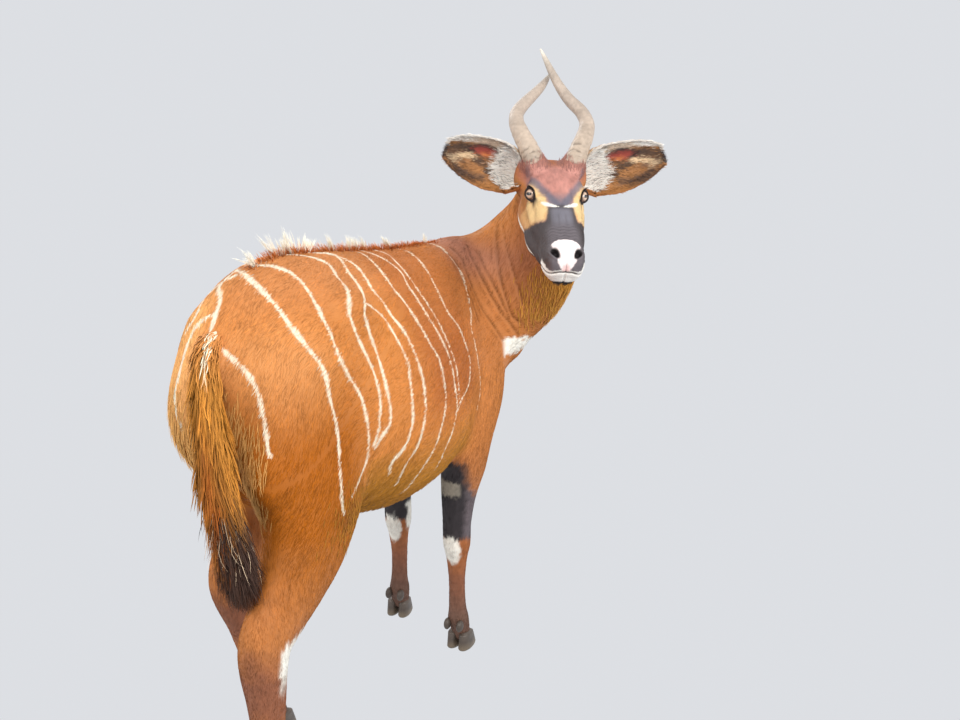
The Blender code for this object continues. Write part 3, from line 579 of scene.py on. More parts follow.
# Stripes from the spine down the right side: (forward, left, up) in millimetres and the half width
# at each end in metres.
# A negative first width keeps a stripe from being mirrored.
STRIPES = [
    ([(-421, 31, 1135), (-466, 41, 1114), (-501, 17, 1095), (-544, 8, 1044), (-565, 0, 994),
      (-577, -8, 919)], -0.0042, 0.0046),
    ([(-541, 13, 1018), (-555, -51, 999), (-552, -94, 958), (-560, -122, 893), (-563, -135, 832),
      (-562, -139, 828)], -0.0046, 0.0034),
    ([(-472, 77, 1089), (-514, 69, 1066), (-522, 89, 1031)], -0.0045, 0.0030),
    ([(-523, 17, 1076), (-528, 46, 1056), (-538, 64, 1023), (-558, 76, 964), (-562, 85, 915),
      (-567, 65, 849)], -0.0045, 0.0040),
    ([(-421, 31, 1135), (-451, -18, 1127), (-460, -53, 1110), (-460, -111, 1060), (-450, -150, 1014),
      (-428, -171, 970), (-417, -181, 911), (-407, -187, 870), (-403, -192, 829), (-403, -199, 750),
      (-397, -200, 696), (-388, -200, 676)], 0.0052, 0.0036),
    ([(-412, 0, 1150), (-372, -60, 1131), (-373, -113, 1088), (-388, -145, 1061), (-384, -176, 1001),
      (-357, -181, 958), (-317, -182, 912), (-300, -189, 877), (-286, -194, 816), (-284, -191, 750),
      (-349, -198, 705), (-354, -198, 700)], 0.0046, 0.0032),
    ([(-335, 0, 1154), (-300, -10, 1153), (-262, -28, 1150), (-236, -51, 1139), (-245, -78, 1119),
      (-253, -103, 1097), (-296, -145, 1067), (-290, -162, 1027), (-270, -165, 993), (-251, -174, 951),
      (-241, -184, 916), (-236, -191, 879), (-247, -197, 816), (-261, -196, 782)], 0.0044, 0.0040),
    ([(-255, 0, 1154), (-212, -10, 1150), (-167, -24, 1147), (-188, -71, 1123), (-193, -101, 1094),
      (-227, -138, 1077), (-246, -161, 1056), (-234, -163, 1023), (-221, -163, 987), (-211, -184, 923),
      (-205, -191, 888), (-201, -197, 853), (-204, -200, 817), (-232, -198, 797), (-252, -196, 777)],
     0.0052, 0.0042),
    ([(-234, -143, 1076), (-186, -135, 1056), (-153, -142, 1035), (-129, -164, 990), (-109, -185, 936),
      (-112, -195, 902), (-115, -206, 843), (-117, -211, 805), (-139, -207, 753), (-177, -196, 722),
      (-170, -185, 692)], 0.0022, 0.0046),
    ([(-228, 0, 1153), (-185, -18, 1148), (-140, -58, 1130), (-142, -105, 1089), (-127, -124, 1063),
      (-116, -144, 1032), (-93, -160, 1002), (-78, -175, 970), (-63, -198, 907), (-59, -206, 873),
      (-62, -212, 835), (-69, -217, 798), (-91, -212, 740), (-119, -200, 703), (-120, -177, 653)],
     0.0042, 0.0028),
    ([(-85, 0, 1148), (-48, -20, 1141), (-55, -60, 1125), (-56, -108, 1084), (-42, -129, 1057),
      (-11, -166, 993), (9, -183, 953), (35, -195, 914), (40, -213, 842), (35, -219, 806),
      (5, -221, 746), (-10, -216, 715), (-46, -195, 659), (-54, -175, 627), (-58, -159, 608)],
     0.0038, 0.0026),
    ([(-24, 0, 1146), (-4, -30, 1137), (28, -83, 1105), (19, -112, 1076), (42, -154, 1012),
      (61, -169, 981), (81, -184, 941), (95, -195, 904), (102, -210, 834), (108, -214, 799),
      (89, -217, 740), (61, -212, 697), (48, -193, 645)], 0.0034, 0.0024),
    ([(33, 0, 1142), (57, -30, 1133), (49, -66, 1116), (52, -113, 1073), (68, -140, 1033),
      (83, -158, 1000), (99, -175, 961), (110, -187, 927), (124, -198, 887), (125, -207, 844),
      (124, -212, 808)], 0.0030, 0.0018),
    ([(160, 0, 1140), (174, -46, 1124), (167, -81, 1101), (156, -129, 1043), (164, -150, 1003),
      (202, -164, 967), (220, -176, 926), (236, -184, 886), (226, -193, 851), (197, -202, 822),
      (137, -211, 800), (112, -216, 781)], 0.0030, 0.0018),
    ([(338, 0, 1148), (351, -31, 1141), (351, -75, 1108), (359, -95, 1081), (350, -115, 1053),
      (329, -134, 1015), (320, -148, 979), (297, -160, 948), (303, -170, 904), (308, -178, 863),
      (316, -182, 817), (316, -184, 783), (299, -185, 737)], 0.0026, 0.0014),
]

# Folds of the skin round the neck: how deep and wide in metres, and forward, left, up in millimetres
FOLD_DEPTH = 0.0026
FOLD_WIDTH = 0.0042
FOLDS = [
    [(498, -122, 1200), (495, -129, 1173), (476, -145, 1122), (466, -167, 1048), (493, -192, 958),
     (525, -207, 931)],
    [(444, -74, 1140), (426, -98, 1112), (431, -133, 1048), (462, -166, 978), (500, -188, 929),
     (530, -195, 900)],
    [(388, -54, 1137), (393, -84, 1111), (385, -109, 1062), (395, -139, 1003), (438, -158, 941),
     (480, -174, 890)],
    [(455, -100, 1130), (448, -127, 1079), (461, -165, 1013), (490, -185, 950)],
    [(350, -49, 1132), (362, -80, 1103), (345, -123, 1038), (365, -151, 959)],
    [(520, -150, 1190), (505, -175, 1120), (500, -195, 1050), (515, -210, 990)],
]


def fold_set():
    paths = [curve_samples(np.array(points) / MILLIMETRES)[0] for points in FOLDS]
    spots = np.vstack(paths)
    return spots, np.zeros(len(spots))


# Meshes and objects
TINT = "tint"


def mesh_from(name, verts, faces):
    mesh = bpy.data.meshes.new(name)
    verts = np.asarray(verts, dtype=np.float32)
    faces = np.asarray(faces, dtype=np.int32)
    mesh.vertices.add(len(verts))
    mesh.vertices.foreach_set("co", verts.ravel())
    mesh.loops.add(faces.size)
    mesh.loops.foreach_set("vertex_index", faces.ravel())
    mesh.polygons.add(len(faces))
    mesh.polygons.foreach_set("loop_start", np.arange(0, faces.size, faces.shape[1], dtype=np.int32))
    mesh.update(calc_edges=True)
    return mesh


def shade_smooth(mesh):
    mesh.polygons.foreach_set("use_smooth", np.ones(len(mesh.polygons), dtype=bool))


def paint(mesh, colours):
    """A colour at every vertex, which the materials read by its name."""
    layer = mesh.color_attributes.new(TINT, "FLOAT_COLOR", "POINT")
    rgba = np.ones((len(mesh.vertices), 4), dtype=np.float32)
    rgba[:, :3] = colours
    layer.data.foreach_set("color", rgba.ravel())


def piece(name, mesh, material, replaces=()):
    """A finished piece of the figure, moved into the CAD frame."""
    n = len(mesh.vertices)
    co = np.empty(n * 3, dtype=np.float32)
    mesh.vertices.foreach_get("co", co)
    mesh.vertices.foreach_set("co", (co.reshape(-1, 3) + np.array(SHIFT, dtype=np.float32)).ravel())
    mesh.update()
    obj = bpy.data.objects.new(name, mesh)
    bpy.context.scene.collection.objects.link(obj)
    obj.data.materials.append(material)
    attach(obj, "root")
    if replaces:
        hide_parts(*replaces)
    return obj


def points_of(mesh):
    v = np.empty(len(mesh.vertices) * 3)
    mesh.vertices.foreach_get("co", v)
    return v.reshape(-1, 3)


def mesh_arrays(mesh):
    """Vertices, normals and triangles of a mesh."""
    normals = np.empty(len(mesh.vertices) * 3)
    mesh.vertices.foreach_get("normal", normals)
    mesh.calc_loop_triangles()
    t = np.empty(len(mesh.loop_triangles) * 3, dtype=np.int64)
    mesh.loop_triangles.foreach_get("vertices", t)
    return points_of(mesh), normals.reshape(-1, 3), t.reshape(-1, 3)


def joined_solids(name, shapes):
    """Closed surfaces in one mesh, their faces turned outward."""
    verts, faces = [], []
    for v, f in shapes:
        start = len(verts)
        verts += [tuple(float(c) for c in p) for p in v]
        faces += [tuple(i + start for i in face) for face in f]
    mesh = bpy.data.meshes.new(name)
    mesh.from_pydata(verts, [], faces)
    bm = bmesh.new()
    bm.from_mesh(mesh)
    bmesh.ops.recalc_face_normals(bm, faces=bm.faces)
    bm.to_mesh(mesh)
    bm.free()
    return mesh


# The skin's form
def base_form():
    """The body's outer form as one even mesh, finer over the head."""
    shapes = body_shapes() + head_shapes()
    core = [(f, l, u, w * TAIL_CORE, d * TAIL_CORE, 0) for f, l, u, w, d in TAIL[:-2]]
    shapes.append(limb(core, around=16, steps=4))
    shapes.append(body_ball(0.562, -0.120, 0.872, 0.090, 0.088, 0.072))
    for s in (-1, 1):
        shapes.append(head_ball(0.066 * s, -0.110, -0.028, 0.030, 0.036, 0.056))
        shapes.append(head_ball(0.036 * s, 0.105, -0.068, 0.030, 0.085, 0.034, 6))
        shapes.append(head_ball(0.030 * s, 0.170, -0.045, 0.027, 0.060, 0.034, 4))
    obj = bpy.data.objects.new("form", joined_solids("form", shapes))
    bpy.context.scene.collection.objects.link(obj)
    mod = obj.modifiers.new("even", "REMESH")
    mod.mode = "VOXEL"
    mod.voxel_size = SKIN_VOXEL
    graph = bpy.context.evaluated_depsgraph_get()
    mesh = bpy.data.meshes.new_from_object(obj.evaluated_get(graph))
    bpy.data.objects.remove(obj)
    rounds = (VOXEL / SKIN_VOXEL) ** 2
    relax(mesh, round(3 * rounds))
    relax(mesh, round(36 * rounds), bulk)
    refine(mesh, near_head, 2)
    refine(mesh, near_features, 1)
    return mesh


def relax(mesh, rounds, mask=None):
    """Evens the surface, by the mask's share at each vertex."""
    v = points_of(mesh)
    n = len(v)
    e = np.empty(len(mesh.edges) * 2, dtype=np.int64)
    mesh.edges.foreach_get("vertices", e)
    e = e.reshape(-1, 2)
    degree = np.maximum(np.bincount(e.ravel(), minlength=n), 1)[:, None]
    share = 0.5 if mask is None else 0.5 * mask(v)[:, None]
    for _ in range(rounds):
        total = np.stack([np.bincount(e[:, 0], v[e[:, 1], k], n) + np.bincount(e[:, 1], v[e[:, 0], k], n)
                          for k in range(3)], 1)
        v = v + share * (total / degree - v)
    mesh.vertices.foreach_set("co", v.ravel())
    mesh.update()


def near_head(v):
    q = head_coords(v)
    return (np.abs(q[:, 0]) < 0.11) & (q[:, 1] > -0.165) & (q[:, 2] > -0.16)


def near_features(v):
    q = head_coords(v)
    r = np.abs(q[:, 0])
    eyes = np.linalg.norm(np.stack([r - EYE_SIDE, q[:, 1] - EYE_AHEAD, q[:, 2]], 1), axis=1) < 0.040
    muzzle = (q[:, 1] > 0.160) & (q[:, 2] > -0.085)
    return eyes | muzzle


def refine(mesh, region, rounds):
    """Halves the faces of a region and evens them."""
    inside = region(points_of(mesh))
    bm = bmesh.new()
    bm.from_mesh(mesh)
    bm.verts.ensure_lookup_table()
    edges = [e for e in bm.edges if inside[e.verts[0].index] and inside[e.verts[1].index]]
    bmesh.ops.subdivide_edges(bm, edges=edges, cuts=1, use_grid_fill=True)
    bmesh.ops.triangulate(bm, faces=[f for f in bm.faces if len(f.verts) > 4])
    bm.to_mesh(mesh)
    bm.free()
    relax(mesh, rounds, lambda p: region(p).astype(float))


# The eye's opening
def eye_frame(side):
    """The eye's gaze, its long axis toward the nose and its upright, in head coordinates."""
    gaze = unit(np.array([EYE_GAZE[0] * side, EYE_GAZE[1], EYE_GAZE[2]]))
    long = np.array([0.0, 1.0, -0.22])
    long = unit(long - gaze * (long @ gaze))
    upright = np.cross(gaze, long)
    return gaze, long, upright * np.sign(upright[2])


def opening(turn):
    """Half the angle that the lids leave open, by the turn round the gaze from the nose side."""
    c, s = np.cos(turn), np.sin(turn)
    wide = np.where(c > 0, *LID_CORNERS)
    high = np.where(s > 0, *LID_MIDDLES)
    return ((np.abs(c) / wide) ** LID_ROUND + (np.abs(s) / high) ** LID_ROUND) ** (-1 / LID_ROUND)


def gaze_ways(angle, turn, side):
    """Directions from the eye's centre at an angle from the gaze and a turn round it."""
    gaze, long, upright = eye_frame(side)
    return (np.cos(angle)[..., None] * gaze + np.sin(angle)[..., None]
            * (np.cos(turn)[..., None] * long + np.sin(turn)[..., None] * upright))


def eye_polar(q, side):
    """Way and distance from the eye's centre, and share of the opening's angle."""
    gaze, long, upright = eye_frame(side)
    d = q - np.array([EYE_SIDE * side, EYE_AHEAD, 0.0])
    far = np.maximum(np.linalg.norm(d, axis=-1), 1e-6)
    angle = np.arccos(np.clip(d @ gaze / far, -1, 1))
    turn = np.arctan2(d @ upright, d @ long)
    return d, far, angle / opening(turn)


def mouth_height(r):
    return -0.043 - 0.013 * smooth(np.abs(r), 0.012, 0.045)


def nostril(q):
    """Distance from the middle of a nostril, 1 at its rim."""
    r = np.abs(q[:, 0])
    across = r - 0.0282 - 0.35 * (0.231 - q[:, 1])
    along = (q[:, 1] - 0.231) * 0.8 - (q[:, 2] + 0.004) * 0.6
    deep = (q[:, 1] - 0.231) * 0.6 + (q[:, 2] + 0.004) * 0.8
    bend = across + 14.0 * along ** 2
    return np.sqrt((bend / 0.0084) ** 2 + (along / 0.0118) ** 2 + (deep / 0.020) ** 2)


def wrinkles(r, a, h):
    """Folds across the bridge above the nose pad, from -1 to 1."""
    fold = np.sin((a + 2.2 * r ** 2 - 0.004 * np.sin(r * 160)) * 2 * math.pi / 0.0105)
    return fold * smooth(a, 0.130, 0.160) * smooth(a, 0.203, 0.192) * smooth(h, -0.03, -0.01)


def sculpt(v, normals):
    """Lids, nostrils, lips and the folds of the head and neck."""
    q = head_coords(v)
    head = (np.abs(q[:, 0]) < 0.13) & (q[:, 1] > -0.20) & (q[:, 2] > -0.2)
    out = v.copy()
    p, n = q[head], normals[head]
    r, a, h = np.abs(p[:, 0]), p[:, 1], p[:, 2]
    lift = np.zeros(len(p))
    # forehead, temples, cheek ridges and the hollow before the eye
    lift += 0.003 * bell(r, 0, 0.034) * bell(a, -0.030, 0.050) * smooth(h, 0.0, 0.02)
    lift -= 0.0035 * bell(r, 0.052, 0.014) * bell(a, -0.065, 0.020) * smooth(h, -0.02, 0.01)
    lift += (0.0035 * bell(h, -0.030 - 0.16 * (a - 0.03), 0.010) * smooth(a, -0.01, 0.03)
             * smooth(a, 0.13, 0.08))
    lift -= (0.0030 * bell(h, -0.008 - 0.25 * (a - 0.04), 0.009) * smooth(a, 0.028, 0.045)
             * smooth(a, 0.10, 0.06))
    lift -= 0.0030 * bell(h, -0.060, 0.020) * bell(a, 0.125, 0.035) * smooth(r, 0.02, 0.04)
    # wrinkles across the bridge and beside the nostrils
    lift += 0.0007 * wrinkles(r, a, h)
    side_fold = np.sin((a * 0.9 + h * 1.3) * 2 * math.pi / 0.011)
    lift += 0.0005 * side_fold * smooth(a, 0.165, 0.185) * smooth(a, 0.235, 0.22) * smooth(r, 0.030, 0.040)
    # nose pad, its middle groove and the wings of the nostrils
    m = nostril(p)
    pad = smooth(a, 0.196, 0.206) * smooth(r, 0.040, 0.034) * smooth(h, -0.045, -0.035)
    lift += 0.0014 * pad
    lift -= 0.0022 * bell(r, 0, 0.0022) * smooth(a, 0.222, 0.235) * smooth(h, -0.004, -0.012)
    lift += 0.0028 * bell(m, 1.45, 0.38) * smooth(a, 0.195, 0.215)
    lift -= 0.0125 * smooth(m, 1.05, 0.55)
    # lips round the mouth line
    line = h - mouth_height(p[:, 0])
    reach = smooth(a, 0.148, 0.166)
    lift -= 0.0058 * bell(line, 0, 0.0019) * reach
    lift += 0.0020 * bell(line, 0.0075, 0.0055) * reach
    lift += 0.0022 * bell(line, -0.0090, 0.0065) * reach * smooth(a, 0.19, 0.22)
    p = head_coords(from_head(p) + n * lift[:, None])
    for side in (-1, 1):
        d, far, m = eye_polar(p, side)
        lid = EYE_RADIUS + 0.0022 + 0.0014 * bell(m, 1.10, 0.10) - 0.0012 * bell(m, 1.42, 0.12)
        held = np.clip(far, lid, lid + 0.003)
        share = smooth(m, 2.35, 1.45) * (far < 0.050)
        target = np.where(m < 1, EYE_RADIUS * 0.80, held)
        p = p + d / far[:, None] * ((target - far) * share)[:, None]
    out[head] = from_head(p)
    # folds where the neck turns
    near, _ = nearest_curve(out, FOLD_SAMPLES, normals)
    out -= normals * (FOLD_DEPTH * np.exp(-(near / FOLD_WIDTH) ** 2))[:, None]
    return out


# Curves on the body
def curve_samples(points, step=0.004):
    """A smooth curve through points given forward, left and up, read every few millimetres."""
    rows = np.array(points, float)
    rough = smooth_rows(rows, (len(rows) - 1) * 24 + 1)
    gone = np.r_[0, np.cumsum(np.linalg.norm(np.diff(rough, axis=0), axis=1))]
    count = max(int(gone[-1] / step), 2)
    even = np.linspace(0, gone[-1], count)
    path = np.stack([np.interp(even, gone, rough[:, k]) for k in range(3)], 1)
    along = even / gone[-1]
    return np.stack([path[:, 1], -path[:, 0], path[:, 2]], 1), along


def nearest_curve(points, samples, normals, reach=0.03):
    """Distance along the skin to the nearest curve of a set, and the half width there."""
    spots, widths = samples
    cell = reach
    low = spots.min(0) - reach
    size = ((spots.max(0) + reach - low) / cell).astype(int) + 2
    far = np.full(len(points), 1.0)
    half = np.zeros(len(points))
    inside = np.all((points > low) & (points < low + size * cell), axis=1)
    index = np.nonzero(inside)[0]
    key = ((points[index] - low) / cell).astype(int)
    key = (key[:, 0] * size[1] + key[:, 1]) * size[2] + key[:, 2]
    order = np.argsort(key, kind="stable")
    index, key = index[order], key[order]
    starts = np.r_[0, np.nonzero(np.diff(key))[0] + 1, len(key)]
    for s, e in zip(starts[:-1], starts[1:]):
        k = key[s]
        corner = low + np.array([k // (size[1] * size[2]), k // size[2] % size[1], k % size[2]]) * cell
        close = np.all((spots > corner - reach) & (spots < corner + cell + reach), axis=1)
        if not close.any():
            continue
        rows = index[s:e]
        d = points[rows][:, None] - spots[close][None]
        n = normals[rows][:, None]
        d = d - n * (d * n).sum(2, keepdims=True) * 0.9
        dist = np.sqrt((d ** 2).sum(2))
        best = dist.argmin(1)
        far[rows] = dist[np.arange(len(rows)), best]
        half[rows] = widths[close][best]
    return far, half


# The markings
def stripe_set():
    """All stripes as samples in space with the half width of the line at each."""
    spots, widths = [], []
    for points, start, end in STRIPES:
        for mirror in (1, -1):
            rows = [(f, l * mirror, u) for f, l, u in np.array(points) / MILLIMETRES if mirror > 0 or l <= 0]
            if mirror < 0:
                if start < 0:
                    continue
                rows = [(f + 0.010 * math.sin(19 * u), l, u) for f, l, u in rows]
            path, along = curve_samples(rows)
            wave = 1 + 0.22 * np.sin(along * 31 + len(spots)) + 0.15 * np.sin(along * 73 + 2)
            spots.append(path)
            widths.append((abs(start) + (end - abs(start)) * along) * wave)
    return np.vstack(spots), np.concatenate(widths)


def along_body(x, knots):
    """A colour read off a list of (place, colour) knots."""
    places = [k[0] for k in knots]
    table = np.array([k[1] for k in knots])
    return np.stack([np.interp(x, places, table[:, i]) for i in range(3)], 1)


def coat_colour(p, n):
    """The coat's colour at points of the skin, with the outward direction there."""
    f, l, u = body_coords(p)
    q = head_coords(p)
    colour = trunk_colour(p, n, f, l, u)
    legs = np.nonzero(u < 0.66)[0]
    colour[legs] = leg_colour(p[legs], colour[legs])
    far, half = nearest_curve(p, STRIPE_SAMPLES, n)
    line = smooth(far, half * 1.25 + 0.0006, half * 0.75)
    colour = mixed(colour, STRIPE_TONE, line * (u > 0.5))
    head = np.nonzero(head_share(q) > 0)[0]
    colour[head] = mixed(colour[head], head_colour(q[head]), head_share(q[head]))
    fleck = grain(p, 0.012, 3) * 0.5 + grain(p, 0.045, 4) * 0.5
    return colour * (0.90 + 0.20 * fleck)[:, None]


def head_share(q):
    """One on the head, nothing on the neck behind it."""
    back = np.minimum(q[:, 1] + 0.16, (q[:, 1] + 0.11) + (q[:, 2] + 0.075) * 0.9)
    wide = (np.abs(q[:, 0]) < 0.115) & (np.abs(q[:, 2]) < 0.19)
    return smooth(back, 0.0, 0.035) * wide


def trunk_colour(p, n, f, l, u):
    colour = layered(
        FLANK_TONE,
        (TOP_TONE, smooth(u, 1.02, 1.14)),
        (RUMP_TONE, smooth(f, -0.33, -0.47) * smooth(u, 1.10, 1.00)),
        # the lower rump and thigh darker: partly their own colour, partly painted shade on the lower side
        (THIGH_SHADED_TONE, smooth(f, -0.22, -0.40) * smooth(u, 1.00, 0.80)),
        (RIBS_TONE, smooth(f, -0.16, 0.06) * smooth(f, 0.36, 0.22) * smooth(u, 0.72, 0.85)),
        # painted light on the left side of the rump
        (LEFT_RUMP_LIT_TONE, smooth(l, 0.0, 0.06) * smooth(f, -0.44, -0.52) * smooth(u, 0.8, 0.9)),
        (SHANK_TONE, smooth(u, 0.66, 0.56) * (f < -0.2)),
        (SHOULDER_TONE, smooth(f, -0.12, 0.12) * smooth(u, 0.92, 1.06) * 0.75),
        (SHOULDER_TONE, smooth(f, 0.19, 0.33) * smooth(u, 1.16, 1.02) * 0.8),
        (WITHERS_TONE, smooth(f, 0.28, 0.42) * smooth(u, 1.02, 1.12)),
        (NECK_TONE, smooth(f, 0.42, 0.52) * smooth(u, 0.94, 1.06)),
        (NAPE_TONE, smooth(f, 0.42, 0.52) * smooth(u, 1.10, 1.20)),
    )
    under = smooth(n[:, 2], 0.05, -0.55)
    throat = smooth(f, 0.40, 0.48) * smooth(u, 0.95, 1.05)
    colour = mixed(colour, THROAT_TONE, throat * smooth(n[:, 2] * 0.6 - n[:, 1] * -0.3, 0.2, -0.3))
    colour = mixed(colour, BELLY_TONE, under * smooth(f, 0.36, 0.25) * smooth(f, -0.40, -0.30) * (u < 0.75))
    line = smooth(np.abs(l), 0.050, 0.020) * under * smooth(f, 0.02, 0.12) * (u < 0.80)
    colour = mixed(colour, DARK_TONE, 0.75 * line)
    # painted shade in the groin and under the tail, and the white crescent of the chest
    groin = bell(np.hypot(np.hypot((f + 0.373) / 1.3, (np.abs(l) - 0.160) / 1.2), u - 0.655), 0, 0.045)
    colour = mixed(colour, RECESS_SHADE_TONE, groin * 0.9 * smooth(np.abs(l), 0.21, 0.19))
    inner = (smooth(np.abs(l), 0.060, 0.030) * smooth(f, -0.48, -0.53) * smooth(u, 0.72, 0.78)
             * smooth(u, 0.99, 0.93))
    colour = mixed(colour, RECESS_SHADE_TONE, inner * 0.35)
    chest = np.hypot((u - 0.866 - 0.25 * (np.abs(l + 0.03) - 0.14)) / 0.024,
                     (np.abs(l + 0.03) - 0.135) / 0.048)
    chest = smooth(chest + 0.5 * (grain(p, 0.010, 12) - 0.5), 1.15, 0.90) * smooth(f, 0.47, 0.50)
    colour = mixed(colour, WHITE_TONE, chest)
    # painted shade in the creases between the folds of the neck
    near, _ = nearest_curve(p, FOLD_SAMPLES, n)
    return colour * (1 - 0.30 * np.exp(-(near / FOLD_WIDTH) ** 2))[:, None]


def leg_place(p):
    """Nearest leg of each point with its place across: forward and outward from the leg's middle."""
    f, l, u = body_coords(p)
    best = np.full(len(p), 9.0)
    which = np.zeros(len(p), int)
    ahead = np.zeros(len(p))
    outward = np.zeros(len(p))
    for i, kind in enumerate(SWING):
        rows = np.array(leg_rows(kind))[::-1]
        mf = np.interp(u, rows[:, 2], rows[:, 0])
        ml = np.interp(u, rows[:, 2], rows[:, 1])
        w = np.interp(u, rows[:, 2], rows[:, 3])
        d = np.interp(u, rows[:, 2], rows[:, 4])
        side = -1 if kind.endswith("right") else 1
        far = np.hypot((f - mf) / d, (l - ml) / w)
        closer = far < best
        best = np.where(closer, far, best)
        which = np.where(closer, i, which)
        ahead = np.where(closer, (f - mf) / d, ahead)
        outward = np.where(closer, (l - ml) / w * side, outward)
    return which, ahead, outward, best


def leg_colour(p, colour):
    """The legs' bands and patches laid over the coat's own colour."""
    u = p[:, 2]
    which, ahead, outward, far = leg_place(p)
    on_leg = smooth(far, 1.75, 1.30) * smooth(u, 0.66, 0.60)
    rough = (0.016 * (grain(p, 0.012, 8) - 0.5)
             + 0.014 * (grain(p * np.array([1, 1, 0.4]), 0.0035, 18) - 0.5)
             + 0.004 * np.sin(ahead * 3 + which))
    v = u + rough
    fore = which < 2
    right = np.where(which % 2 == 0, outward, -outward)
    seen = 0.39 * ahead + 0.92 * right + 0.25 * (grain(p, 0.012, 9) - 0.5)
    rear = smooth(-0.92 * ahead + 0.40 * right, -0.55, -0.20)
    low = along_body(v, [(0.0, CANNON_LOW), (0.11, CANNON_LOW), (0.22, CANNON_TONE), (0.29, KNEE_TONE),
                         (0.36, KNEE_TONE), (0.50, FORE_TONE), (0.66, SHOULDER_TONE)])
    high = along_body(v + 0.05 * (grain(p, 0.035, 22) - 0.5),
                      [(0.0, CANNON_LOW), (0.12, CANNON_LOW), (0.22, HOCK_TONE), (0.30, HIND_GREY),
                       (0.39, HIND_GREY), (0.47, HOCK_TONE), (0.60, SHANK_TONE), (0.66, SHANK_TONE)])
    tint = np.where(fore[:, None], low, high)
    band = v + np.where(which == 1, 0.010, 0.0)
    reach = np.interp(v, [0.36, 0.46, 0.52, 0.60], [1.4, 1.1, 0.35, 0.10])
    slate = (fore * smooth(band, 0.352, 0.366) * smooth(v, 0.580, 0.50)
             * smooth(seen, reach + 0.5, reach - 0.1))
    tint = mixed(tint, SLATE_DARK, slate * 0.9)
    reach = np.interp(v, [0.36, 0.48, 0.54, 0.60], [0.45, 0.40, 0.25, 0.05]) + 1.5 * (which == 1)
    black = (fore * smooth(band, 0.350, 0.362) * smooth(v, 0.610, 0.585)
             * smooth(seen, reach + 0.35, reach - 0.15))
    tint = mixed(tint, BLACK_TONE, black)
    patch = ((which == 0) * smooth(v, 0.482, 0.494) * smooth(v, 0.542, 0.530) * smooth(seen, 0.20, -0.15)
             * rear)
    tint = mixed(tint, PATCH_TONE, patch)
    middle = (band - 0.320) / 0.044
    lens = np.hypot(middle, (seen + 0.38) / 0.72)
    white = fore * smooth(lens + rough * 8, 1.14, 0.86) * rear
    tint = mixed(tint, WHITE_TONE, white * (0.80 + 0.2 * grain(p, 0.004, 19)))
    edge = (which == 1) * smooth(seen, 0.66, 0.82) * smooth(v, 0.30, 0.33) * smooth(v, 0.42, 0.39)
    tint = mixed(tint, WHITE_TONE, edge)
    corner = 0.58 * ahead + 0.82 * outward + rough * 6
    hock = (1 - fore) * smooth(corner, 0.66, 0.84) * smooth(v, 0.335, 0.400) * smooth(v, 0.462, 0.445)
    tint = mixed(tint, WHITE_TONE, hock)
    crown = (smooth(v, 0.078, 0.088) * smooth(v, 0.118, 0.106) * smooth(np.abs(outward), 0.75, 0.35)
             * (ahead > 0))
    tint = mixed(tint, WHITE_TONE, crown * 0.9)
    tint = tint * (0.82 + 0.36 * grain(p * np.array([1, 1, 0.5]), 0.005, 20))[:, None]
    return mixed(colour, tint, on_leg)


